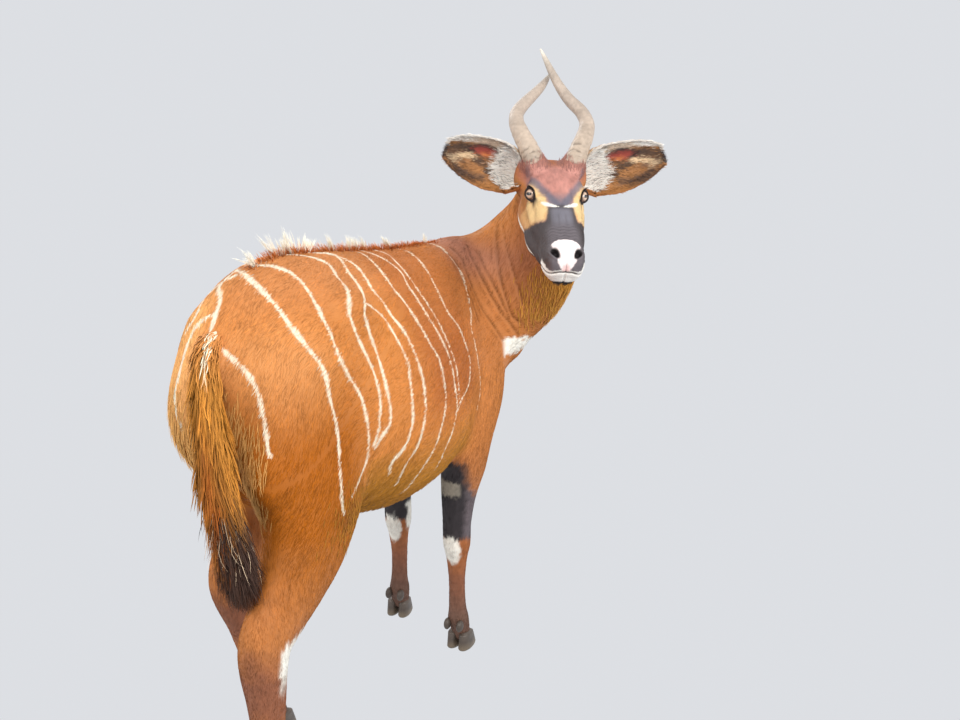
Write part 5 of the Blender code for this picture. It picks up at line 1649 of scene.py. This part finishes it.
def horn_piece(name, rows, side, node, material):
    """A horn with its keel, growth rings and lumps."""
    along = CROWN * math.sin(HORN_RISE) - FACE * math.cos(HORN_RISE)
    brow = CROWN * math.cos(HORN_RISE) + FACE * math.sin(HORN_RISE)
    base = HEAD_AT + FACE * HORN_AT[0] + CROWN * HORN_AT[1]
    path = smooth_rows(rows, HORN_RINGS)
    centre = base + RIGHT * path[:, :1] * side + along * path[:, 1:2] + brow * path[:, 2:3]
    rings = rings_along(centre, RIGHT, path[:, 3], path[:, 3], path[:, 3], 0.0, HORN_AROUND)
    t = np.linspace(0, 1, HORN_RINGS)[:, None]
    turn = np.linspace(0, 2 * math.pi, HORN_AROUND, endpoint=False)[None]
    keel = np.cos(turn - 0.6 - 2.6 * t)
    lumps = grain(rings.reshape(-1, 3), 0.012, 51).reshape(t.shape[0], -1) - 0.5
    fine = grain(rings.reshape(-1, 3), 0.004, 52).reshape(t.shape[0], -1) - 0.5
    ring = np.sin(t * 175 + 1.5 * np.sin(turn + t * 4) + 7.0 * lumps + 2.0 * fine)
    fade = smooth(t, 0.58, 0.10) * smooth(lumps + 0.5, 0.25, 0.65)
    scale = 1 + 0.045 * smooth(keel, 0.55, 1.0) * smooth(t, 0.75, 0.3)
    scale = (scale + fade * 0.034 * ring + 0.050 * lumps * smooth(t, 0.8, 0.2) + 0.032 * fine
             * smooth(t, 0.9, 0.4))
    rings = centre[:, None] + (rings - centre[:, None]) * (scale - 0.02)[..., None]
    verts, faces = skin_rings(rings)
    mesh = bpy.data.meshes.new(name)
    mesh.from_pydata(verts, [], faces)
    shade_smooth(mesh)
    height = np.r_[np.repeat(t[:, 0], HORN_AROUND), 0, 1]
    groove = np.r_[(0.5 - 0.5 * ring * fade).ravel(), 0.5, 0.5]
    colour = along_body(height, HORN_KNOTS)
    colour = mixed(colour, HORN_CRACK, smooth(groove, 0.62, 1.0) * 0.70)
    blot = grain(np.array(verts), 0.030, 53) * 0.5 + grain(np.array(verts), 0.006, 54) * 0.5
    paint(mesh, colour * (0.66 + 0.62 * blot)[:, None])
    piece(name, mesh, material, [node])


HORN_KNOTS = [(0.0, tone(140, 122, 106)), (0.08, tone(170, 152, 134)), (0.25, tone(186, 168, 150)),
              (0.60, tone(176, 160, 146)), (0.84, tone(178, 164, 150)), (0.93, tone(196, 186, 172)),
              (1.0, tone(222, 214, 202))]
HORN_CRACK = tone(84, 74, 62)


# Eyes
def eye_piece(side, node, material):
    """An eyeball with a bulging front, the iris and an oval pupil that lies level."""
    gaze, long, upright = eye_frame(side)
    lat = np.linspace(0, math.pi, 61)[1:-1]
    lon = np.linspace(0, 2 * math.pi, 72, endpoint=False)
    reach = EYE_RADIUS * (1 - 0.012 + 0.030 * smooth(lat, 0.62, 0.10))
    local = gaze_ways(lat[:, None], lon[None], side) * reach[:, None, None]
    centre = head_point(EYE_SIDE * side, EYE_AHEAD, 0.0)
    rings = centre + local[..., :1] * RIGHT + local[..., 1:2] * FACE + local[..., 2:] * CROWN
    verts, faces = skin_rings(rings)
    verts[-2] = tuple(head_point(*(np.array([EYE_SIDE * side, EYE_AHEAD, 0]) + gaze * EYE_RADIUS * 1.018)))
    name = "eyeball_right" if side > 0 else "eyeball_left"
    mesh = bpy.data.meshes.new(name)
    mesh.from_pydata(verts, [], faces)
    shade_smooth(mesh)
    angle = np.repeat(lat, len(lon))
    turn = np.tile(lon, len(lat))
    rise = np.array([RIGHT[2], FACE[2], CROWN[2]])
    level = unit(np.cross(rise, gaze))
    tilt = math.atan2(level @ upright, level @ long)
    x, y = angle * np.cos(turn - tilt), angle * np.sin(turn - tilt)
    x, y = np.r_[x, 0, math.pi], np.r_[y, 0, 0]
    angle = np.r_[angle, 0, math.pi]
    rays = np.r_[np.sin(turn * 23 + 3 * np.sin(turn * 7)), 0, 0]
    colour = IRIS_TONE * (0.90 + 0.16 * rays)[:, None]
    colour = layered(
        colour,
        (IRIS_DARK, smooth(angle, 0.40, 0.62) * 0.7),
        (IRIS_DARK * 0.5, smooth(angle, 0.60, 0.68)),
        (WHITE_OF_EYE, smooth(angle, 0.70, 0.82)),
    )
    pupil = (np.abs(x / 0.42) ** 2.6 + np.abs(y / 0.20) ** 2.6) ** (1 / 2.6)
    colour = mixed(colour, PUPIL_TONE, smooth(pupil, 1.12, 0.90))
    paint(mesh, colour)
    piece(name, mesh, material, [node])


IRIS_TONE = tone(216, 186, 164)
IRIS_DARK = tone(120, 84, 56)
WHITE_OF_EYE = tone(120, 84, 66)
PUPIL_TONE = tone(8, 8, 14)


def lid_ring(side):
    """The smooth dark edge of the lids as a closed tube."""
    count, around = 96, 12
    turn = np.linspace(0, 2 * math.pi, count, endpoint=False)
    d = gaze_ways(opening(turn) * 1.03, turn, side)
    middle = np.array([EYE_SIDE * side, EYE_AHEAD, 0.0]) + d * (EYE_RADIUS + 0.0007)
    tangent = normalised(np.roll(middle, -1, 0) - np.roll(middle, 1, 0))
    outward = square_to(d, tangent)
    across = np.cross(tangent, outward)
    t = np.linspace(0, 2 * math.pi, around, endpoint=False)
    upper = np.where(np.sin(turn) > 0, 0.00190, 0.00150)[:, None, None]
    rings = middle[:, None] + upper * (np.cos(t)[None, :, None] * outward[:, None]
                                       + np.sin(t)[None, :, None] * across[:, None])
    i, j = (x.ravel() for x in np.meshgrid(np.arange(count), np.arange(around), indexing="ij"))
    here, there = i * around, (i + 1) % count * around
    faces = np.stack([here + j, here + (j + 1) % around, there + (j + 1) % around, there + j], 1)
    verts = from_head(rings.reshape(-1, 3))
    return verts, faces, np.repeat(LID_TONE[None] * 0.8, len(verts), 0)


def lash_tufts(side):
    """Lashes along the upper lid."""
    gaze, long, upright = eye_frame(side)
    count = 90
    turn = np.linspace(0.12 * math.pi, 0.95 * math.pi, count) + random.normal(0, 0.01, count)
    angle = opening(turn) * (1.08 + 0.04 * random.random(count))
    d = gaze_ways(angle, turn, side)
    middle = np.array([EYE_SIDE * side, EYE_AHEAD, 0.0]) + d * (EYE_RADIUS + 0.0024)
    way = normalised(d * 0.9 + gaze * 0.55 + long * (np.cos(turn) * 0.5)[:, None] - upright * 0.25)
    turned = np.stack([RIGHT, FACE, CROWN])
    p = HEAD_AT + middle @ turned
    way = way @ turned
    n = normalised((upright @ turned)[None] - way * (way @ (upright @ turned))[:, None])
    dark = np.repeat(LID_TONE[None] * 0.6, count, 0)
    size = 0.008 + 0.004 * random.random(count)
    return locks(p, n, way, size, 0.0007, 0.002, 0.0, dark, dark, 3)


# Hooves
def claw(f, l, side, toe_out, levels=26, around=48):
    """One finely made claw: curved wall, rounded top edge and growth rings."""
    c, s = math.cos(toe_out), math.sin(toe_out)
    rings = []
    for i in range(levels):
        t = i / (levels - 1)
        back = -0.040 + 0.004 * t
        front = TOE_LENGTH - 0.040 - 0.026 * t
        half = TOE_WIDTH / 2 * (1 - 0.10 * t)
        a = np.linspace(0, 2 * math.pi, around, endpoint=False)
        ca, sa = np.cos(a), np.sin(a)
        x = (front + back) / 2 + (front - back) / 2 * np.sign(ca) * np.abs(ca) ** 0.9
        taper = 1 - 0.42 * np.maximum(0, (x - back) / (front - back) - 0.35)
        y = half * taper * np.sign(sa) * np.abs(sa) ** 0.8
        edge = 1 - 0.10 * smooth(np.array(t), 0.10, 0.0) - 0.30 * smooth(np.array(t), 0.86, 1.0)
        ridge = 1 + 0.010 * math.sin(t * 55) * smooth(np.array(t), 0.1, 0.3)
        mx = (front + back) / 2
        x = mx + (x - mx) * edge * ridge
        y = TOE_WIDTH / 2 * 1.04 + y * edge * ridge * 0.98
        rings.append(np.stack([x, y * side, np.full(around, TOE_HEIGHT * t)], -1))
    rings = np.array(rings)
    x, y, z = rings[..., 0], rings[..., 1], rings[..., 2]
    return skin_rings(np.stack([l + y * c + x * s, -(f + x * c - y * s), z], -1))


def hooves(kind, nodes, material):
    """The two claws and two dewclaws of a foot."""
    rows = leg_rows(kind)
    row = rows[-3]
    shapes = []
    for side in (-1, 1):
        shapes.append(claw(rows[-1][0], rows[-1][1], side, FEET[kind]))
        middle = place(row[0] - row[4] * 0.86, row[1] + side * 0.019, row[2] - 0.012)
        shapes.append(ball(middle, place(DEWCLAW * 1.1, 0, -0.004), place(0, DEWCLAW * 0.72, 0),
                           place(0.004, 0, DEWCLAW * 1.25), 14, 24))
    mesh = joined_solids(f"hooves_{kind}", shapes)
    shade_smooth(mesh)
    p = np.vstack([v for v, _ in shapes])
    colour = along_body(p[:, 2] / TOE_HEIGHT, [(0, HOOF_LOW), (0.5, HOOF_MID), (1.0, HOOF_TOP),
                                               (1.6, HOOF_MID)])
    paint(mesh, colour * (0.8 + 0.4 * grain(p, 0.012, 61))[:, None])
    piece(f"hooves_{kind}", mesh, material, nodes)


HOOF_LOW = tone(112, 98, 80)
HOOF_MID = tone(74, 64, 56)
HOOF_TOP = tone(88, 78, 70)


# Long hair: locks along the spine, and a height above the back from which they fall in place
CREST_LOCKS = 1500
ABOVE_BACK = 1.22
TAIL_STEPS = 240


def crest_coat(tree, material):
    """The hair along the spine: white bundles where the stripes start and short red hair between."""
    rows = []
    for middle, spread, back, up in CREST_BUNDLES:
        tall = math.hypot(back, up)
        for _ in range(int(3 + 330 * spread)):
            count = int(9 * LONG_DENSITY)
            off = random.normal(0, 0.75) * spread
            f = middle + off + random.normal(0, 0.0015, count)
            across = random.normal(0, 0.0035) + random.normal(0, 0.0012, count)
            way = (np.array([0, back, up])[None] / tall + random.normal(0, 0.15, 3)
                   + random.normal(0, 0.035, (count, 3)))
            way[:, 0] += across * 22
            way[:, 1] -= off * 14
            size = tall * (0.75 + 0.60 * random.random()) * (0.65 + 0.35 * random.random(count))
            rows.append((f, across, way, size, np.full(count, 1.0)))
    count = int(CREST_LOCKS * LONG_DENSITY)
    f = -0.43 + 0.85 * random.random(count)
    across = random.normal(0, 0.0070, count)
    tall = np.interp(f, [-0.43, -0.36, -0.28, -0.05, 0.15, 0.30, 0.43],
                     [0.010, 0.026, 0.030, 0.029, 0.026, 0.020, 0.010])
    wisp = random.random(count) < 0.06
    way = np.stack([across * 22, 0.85 + 0 * f, 0.65 + 0 * f], 1) + random.normal(0, 0.18, (count, 3))
    rows.append((f, across, way, tall * (0.5 + 0.6 * random.random(count)) * np.where(wisp, 1.5, 1.0),
                 wisp * 0.45))
    f, across, way, size, white = (np.concatenate([row[k] for row in rows]) for k in range(5))
    hit = drop_on(tree, np.stack([across, -f, np.full(len(f), ABOVE_BACK)], 1))
    way = normalised(way)
    normal = np.stack([-0.45 + 0 * f, 0.45 + 0 * f, 0.8 + 0 * f], 1)
    normal = square_to(normal, way)
    tint = CREST_RED[None] * (0.75 + 0.6 * random.random(len(f)))[:, None]
    # painted light: the white hair lifted above its own colour, for the light passing through it
    tint = mixed(tint, CREST_WHITE * 1.2, white)
    tips = mixed(tint * 1.45, CREST_WHITE * 1.1, white)
    width = np.where(white > 0.3, 0.0017, 0.0023)
    tufts = locks(hit - np.array([0, 0, 0.003]), normal, way, size, width, size * 0.16,
                  random.normal(0, 0.0018, len(f)), tint, tips, 4, 0.0)
    coat_piece("coat_crest", [tufts], material)


# White bundles of the crest: place forward, half its width, and how far it reaches back and up
CREST_BUNDLES = [(-0.414, 0.008, 0.050, 0.028), (-0.337, 0.010, 0.060, 0.036), (-0.294, 0.007, 0.044, 0.046),
                 (-0.252, 0.011, 0.008, 0.043), (-0.226, 0.005, -0.010, 0.030), (-0.124, 0.008, 0.032, 0.032),
                 (-0.040, 0.008, 0.036, 0.034), (-0.012, 0.006, 0.034, 0.036), (0.028, 0.007, 0.038, 0.027),
                 (0.150, 0.010, 0.036, 0.032), (0.338, 0.006, 0.014, 0.022)]


def drop_on(tree, points):
    """Where points fall straight down on the skin."""
    hits = []
    for p in points:
        spot = tree.ray_cast(Vector(p), Vector((0, 0, -1)))[0]
        hits.append(tuple(p) if spot is None else tuple(spot))
    return np.array(hits)


def tail_coat(material):
    """The tail: long red and ochre hair that passes into a dark brush."""
    rows = smooth_rows([r + (0,) for r in TAIL], TAIL_STEPS)
    drop = np.linspace(0, 1, TAIL_STEPS)
    left = rows[:, 1] - 0.016 * smooth(drop, 0.45, 0.80)
    centre = np.stack([left, -rows[:, 0], rows[:, 2]], 1)
    tangent = normalised(np.gradient(centre, axis=0))
    groups = []
    for name, count, low, high in (("stem", 3700, 0.0, 0.78), ("brush", 2300, 0.57, 0.90)):
        count = int(count * LONG_DENSITY)
        t = low + (high - low) * random.random(count)
        k = (t * (TAIL_STEPS - 1)).astype(int)
        turn = random.random(count) * 2 * math.pi
        side = square_to(place(0, 1.0, 0), tangent[k])
        other = np.cross(tangent[k], side)
        out = side * np.cos(turn)[:, None] + other * np.sin(turn)[:, None]
        radius = np.hypot(rows[k, 3] * np.cos(turn), rows[k, 4] * np.sin(turn))
        vary = random.random(count)
        wander = np.stack([grain(np.stack([turn, t * 6, 0 * t], 1), 0.6, 81 + j) - 0.5 for j in range(3)], 1)
        if name == "stem":
            p = centre[k] + out * (radius * (TAIL_CORE + 0.10 * vary))[:, None]
            size = 0.045 + 0.040 * vary
            edge = np.abs(np.cos(turn))
            way = normalised(tangent[k] + out * (0.08 + 0.10 * edge)[:, None] + wander * 0.30
                             + random.normal(0, 0.05, (count, 3)))
            colour = mixed(TAIL_TONE, TAIL_RED, smooth(t, 0.15, 0.45) * (1 - edge) ** 0.6)
            colour = mixed(colour, TAIL_DARK, smooth(t + 0.16 * (vary - 0.5) - 0.10 * np.cos(turn), 0.60,
                                                     0.80))
            colour = mixed(RUMP_TONE[None] * 0.95, colour, smooth(t, 0.02, 0.22))
            streak = grain(np.stack([turn * 3, t * 2, 0 * t], 1), 0.5, 91)
            strong = smooth(t, 0.02, 0.25)
            colour = (colour * (1 + strong * (0.90 * streak - 0.50))[:, None]
                      * (0.85 - 0.10 * strong + 0.35 * vary)[:, None])
            stripe = smooth(np.abs(turn - 4.38 + 0.5 * (streak - 0.5)), 0.20, 0.10) * smooth(t, 0.19, 0.11)
            colour = mixed(colour, STRIPE_TONE * 1.05, stripe)
            size = size * (0.45 + 0.55 * smooth(t, 0.02, 0.22))
            width, lift = 0.0037, size * 0.04
            curl = random.normal(0, 0.0045, count)
        else:
            shrink = 1 - 0.45 * smooth(t, 0.72, 0.92)
            p = centre[k] + out * (radius * shrink * 0.75 * np.sqrt(random.random(count)))[:, None]
            p[:, 0] -= 0.014 * smooth(t, 0.74, 0.92)
            size = np.minimum(0.040 + 0.065 * vary, (1.0 - t) * 0.40 + 0.012)
            way = normalised(tangent[k] + out * (0.30 - 0.22 * t)[:, None] + wander * 0.45
                             + random.normal(0, 0.11, (count, 3)))
            pale = (random.random(count) < 0.20) & (t < 0.70)
            colour = np.where(pale[:, None], TAIL_PALE[None], TAIL_DARK[None]) * (0.35 + 1.0 * vary)[:, None]
            red = (np.maximum(smooth(t, 0.80, 0.66) * (np.cos(turn) > 0.0), smooth(t, 0.84, 0.90) * 0.7)
                   * (~pale))
            colour = mixed(colour, TAIL_RED * 0.8, red * 0.7)
            width, lift = np.where(pale, 0.0013, 0.0024), size * 0.05
            curl = random.normal(0, 0.009, count)
        tips = np.clip(colour * 1.25, 0, 1)
        groups.append(locks(p, square_to(out, way), way, size, width, lift, curl, colour, tips, 4, 0.6))
    coat_piece("coat_tail", groups, material)


def long_fur(v, normals, t, material):
    """Longer hair beside the tail, on the throat, in the fold of the flank and on the chin."""
    f, l, u = body_coords(v)
    q = head_coords(v)
    wide = np.abs(l)
    patchy = grain(v, 0.05, 71)
    seat = (smooth(f, -0.515, -0.550) * smooth(u + 0.10 * patchy, 0.68, 0.80)
            * smooth(u + 0.10 * patchy, 1.00, 0.88))
    seat = seat * smooth(wide + 0.03 * patchy, 0.150, 0.11) * (0.5 + 0.5 * patchy)
    throat = smooth(l, -0.18, -0.22) * smooth(f, 0.48, 0.52) * smooth(u, 0.92, 0.97) * smooth(u, 1.22, 1.12)
    fold = (bell(np.hypot((f + 0.325) / 1.5, u - 0.665), 0, 0.055) * smooth(wide, 0.10, 0.14)
            * smooth(wide, 0.24, 0.20))
    belly = smooth(normals[:, 2], -0.4, -0.75) * smooth(f, -0.30, -0.24) * smooth(f, 0.30, 0.22) * (u < 0.62)
    line = q[:, 2] - mouth_height(q[:, 0])
    chin = (smooth(line, -0.031, -0.035) * smooth(q[:, 1], 0.175, 0.19)
            * smooth(np.abs(q[:, 0]), 0.030, 0.022) * (q[:, 2] > -0.13))
    along = np.abs(q[:, 0]) - 0.0500
    ring = np.hypot(along, (q[:, 1] + 0.089) * 0.9)
    crown = smooth(ring, 0.046, 0.040) * smooth(q[:, 2], -0.005, 0.010) * (np.abs(q[:, 0]) < 0.12)
    horn_way = CROWN * 0.62 - FACE * 0.78
    groups = []
    for mask, many, length, width, way, root, tip in (
            (seat, 42000, 0.036, 0.0017, place(-0.10, 0.0, -1.0), SEAT_TONE, SEAT_TIP),
            (throat, 14000, 0.030, 0.0028, place(0.15, 0.0, -1.0), THROAT_TONE, THROAT_TIP),
            (fold, 13000, 0.024, 0.0026, place(-0.35, 0, -1.0), BELLY_TONE * 0.8, BELLY_TONE),
            (belly, 5000, 0.020, 0.0028, place(-0.9, 0, -0.5), BELLY_TONE * 0.8, BELLY_TONE),
            (crown, 75000, 0.017, 0.0013, horn_way, FOREHEAD_TONE * 0.72, FOREHEAD_TONE * 0.85),
            (chin, 140000, 0.013, 0.0010, -CROWN + FACE * 0.25, CHIN_TONE, CHIN_TONE)):
        p, n, _ = scatter(v, normals, t, mask * many * LONG_DENSITY)
        count = len(p)
        d = way[None] + random.normal(0, 0.13, (count, 3))
        d = normalised(d - n * (d * n).sum(1, keepdims=True) * 0.9)
        shade = (0.70 + 0.45 * random.random(count))[:, None]
        size = length * (0.6 + 0.7 * random.random(count))
        groups.append(locks(p, n, d, size, width, size * 0.10, random.normal(0, 0.002, count),
                            root * shade, tip * shade, 4, 0.85))
    coat_piece("coat_seat", groups[:1], material)
    coat_piece("coat_long", groups[1:], material)


# Materials
def surface(name, rough, specular=0.5, coat=0.0, bump=0.0, bump_scale=900.0):
    """A plain finish that takes its colour from the mesh, with fine grain added."""
    mat = bpy.data.materials.new(name)
    mat.use_nodes = True
    nodes, links = mat.node_tree.nodes, mat.node_tree.links
    shader = nodes["Principled BSDF"]
    shader.inputs["Roughness"].default_value = rough
    shader.inputs["Specular IOR Level"].default_value = specular
    shader.inputs["Coat Weight"].default_value = coat
    shader.inputs["Coat Roughness"].default_value = 0.03
    colour = nodes.new("ShaderNodeVertexColor")
    colour.layer_name = TINT
    where = nodes.new("ShaderNodeTexCoord")
    noise = nodes.new("ShaderNodeTexNoise")
    noise.inputs["Scale"].default_value = bump_scale
    noise.inputs["Detail"].default_value = 3.0
    links.new(where.outputs["Object"], noise.inputs["Vector"])
    scale = nodes.new("ShaderNodeMapRange")
    scale.inputs["To Min"].default_value = 0.86
    scale.inputs["To Max"].default_value = 1.10
    links.new(noise.outputs["Fac"], scale.inputs["Value"])
    mix = nodes.new("ShaderNodeVectorMath")
    mix.operation = "SCALE"
    links.new(colour.outputs["Color"], mix.inputs[0])
    links.new(scale.outputs["Result"], mix.inputs["Scale"])
    links.new(mix.outputs["Vector"], shader.inputs["Base Color"])
    if bump:
        lump = nodes.new("ShaderNodeBump")
        lump.inputs["Strength"].default_value = bump
        lump.inputs["Distance"].default_value = 0.001
        links.new(noise.outputs["Fac"], lump.inputs["Height"])
        links.new(lump.outputs["Normal"], shader.inputs["Normal"])
    return mat


# The whole figure
STRIPE_SAMPLES = stripe_set()
FOLD_SAMPLES = fold_set()


def build_skin(material):
    """The skin with its ears and lids, and what the coat needs of it."""
    mesh = base_form()
    v, normals, _ = mesh_arrays(mesh)
    v = sculpt(v, normals)
    mesh.vertices.foreach_set("co", v.ravel())
    mesh.update()
    v, normals, t = mesh_arrays(mesh)
    colour = coat_colour(v, normals)
    v = v - normals * coat_depth(v)[:, None]
    verts, tris, tints = [v], [t], [colour * 0.92]
    start = len(v)
    ears = {}
    for side in (-1, 1):
        ev, ef, et, ears[side] = ear_mesh(side)
        lv, lf, lt = lid_ring(side)
        for x, fc, c in ((ev, ef, et), (lv, lf, lt)):
            fc = np.vstack([fc[:, (0, 1, 2)], fc[:, (0, 2, 3)]])
            verts.append(x)
            tris.append(fc + start)
            tints.append(c)
            start += len(x)
    verts, tris, tints = np.vstack(verts), np.vstack(tris), np.vstack(tints)
    joined = mesh_from("skin", verts, tris)
    shade_smooth(joined)
    paint(joined, np.clip(tints, 0, 1))
    flesh = ["trunk", "neck", "head", "crest", "tail", "ear_left", "ear_right"]
    flesh += [f"leg_{kind}" for kind in SWING]
    piece("skin", joined, material, flesh)
    bpy.data.meshes.remove(mesh)
    return v, normals, t, ears


def build_all():
    """Every piece of the figure, with the CAD nodes that each one replaces."""
    cad = [o.name for o in bpy.context.scene.objects if o.type == "MESH"]
    fur = surface("fur", 0.66, 0.20, bump_scale=700.0)
    hide = surface("hide", 0.60, 0.30, bump=0.35, bump_scale=1400.0)
    horn = surface("horn", 0.42, 0.45, bump=0.35, bump_scale=500.0)
    hoof = surface("hoof", 0.45, 0.45, bump=0.30, bump_scale=600.0)
    eye = surface("eye", 0.12, 0.5, coat=1.0, bump_scale=1500.0)
    v, normals, t, ears = build_skin(hide)
    short_coat(v, normals, t, fur)
    for side in (-1, 1):
        ear_coat(side, ears[side], fur)
        eye_piece(side, "eye_right" if side > 0 else "eye_left", eye)
    coat_piece("coat_lashes", [lash_tufts(side) for side in (-1, 1)], fur)
    horn_piece("horn_fine_left", HORN_LEFT, -1, "horn_left", horn)
    horn_piece("horn_fine_right", HORN_RIGHT, 1, "horn_right", horn)
    for kind in SWING:
        hooves(kind, [n for n in cad if kind in n and ("hoof" in n or "dewclaw" in n)], hoof)
    long_fur(v, normals, t, fur)
    tree = BVHTree.FromPolygons([tuple(x) for x in v], [tuple(int(i) for i in x) for x in t])
    crest_coat(tree, fur)
    tail_coat(fur)


build_all()


# Light and camera
WORLD_COLOUR = (0.88, 0.90, 0.94, 1)
WORLD_STRENGTH = 0.82
# Lights: name, place, aim, size, power, colour
LIGHTS = [
    ("key", (-1.8, 3.4, 3.9), (0.1, 0.0, 0.9), 2.0, 120, (1.0, 0.97, 0.92)),
    ("fill", (-4.0, 0.6, 2.2), (0.1, -0.2, 0.95), 2.4, 100, (1.0, 0.98, 0.95)),
    ("back", (2.6, 3.4, 2.4), (0.1, 0.2, 0.9), 2.4, 70, (1.0, 0.98, 0.95)),
    ("rim", (2.8, -1.8, 3.4), (0.1, 0.0, 0.9), 2.4, 60, (1.0, 0.98, 0.95)),
]
# The camera: place, turn about the upright, height angle and roll in degrees, and lens in millimetres
CAMERA_AT = (-1.258, 2.217, 1.434)
CAMERA_TURN = (203.1, 11.7, 2.5)
LENS = 41.25
SENSOR = 36
CLIP = (0.05, 100)


def area_light(name, at, aim, size, power, colour):
    data = bpy.data.lights.new(name, "AREA")
    data.shape = "DISK"
    data.size = size
    data.energy = power
    data.color = colour
    obj = bpy.data.objects.new(name, data)
    bpy.context.scene.collection.objects.link(obj)
    obj.location = at
    obj.rotation_euler = (Vector(aim) - Vector(at)).to_track_quat("-Z", "Y").to_euler()


def camera():
    a, e, roll = (math.radians(x) for x in CAMERA_TURN)
    back = np.array([math.sin(a) * math.cos(e), -math.cos(a) * math.cos(e), math.sin(e)])
    right = np.array([math.cos(a), math.sin(a), 0])
    up = np.cross(back, right)
    right2 = right * math.cos(roll) + up * math.sin(roll)
    up2 = -right * math.sin(roll) + up * math.cos(roll)
    matrix = Matrix([[right2[i], up2[i], back[i], CAMERA_AT[i] + SHIFT[i]] for i in range(3)]
                    + [[0, 0, 0, 1]])
    data = bpy.data.cameras.new("camera")
    data.lens = LENS
    data.sensor_width = SENSOR
    data.sensor_fit = "HORIZONTAL"
    data.clip_start, data.clip_end = CLIP
    data.dof.use_dof = False
    obj = bpy.data.objects.new("camera", data)
    bpy.context.scene.collection.objects.link(obj)
    obj.matrix_world = matrix
    bpy.context.scene.camera = obj


world = bpy.data.worlds.new("studio")
world.use_nodes = True
world.node_tree.nodes["Background"].inputs["Color"].default_value = WORLD_COLOUR
world.node_tree.nodes["Background"].inputs["Strength"].default_value = WORLD_STRENGTH
bpy.context.scene.world = world
bpy.context.scene.view_settings.view_transform = "Standard"
for light in LIGHTS:
    area_light(*light)
camera()
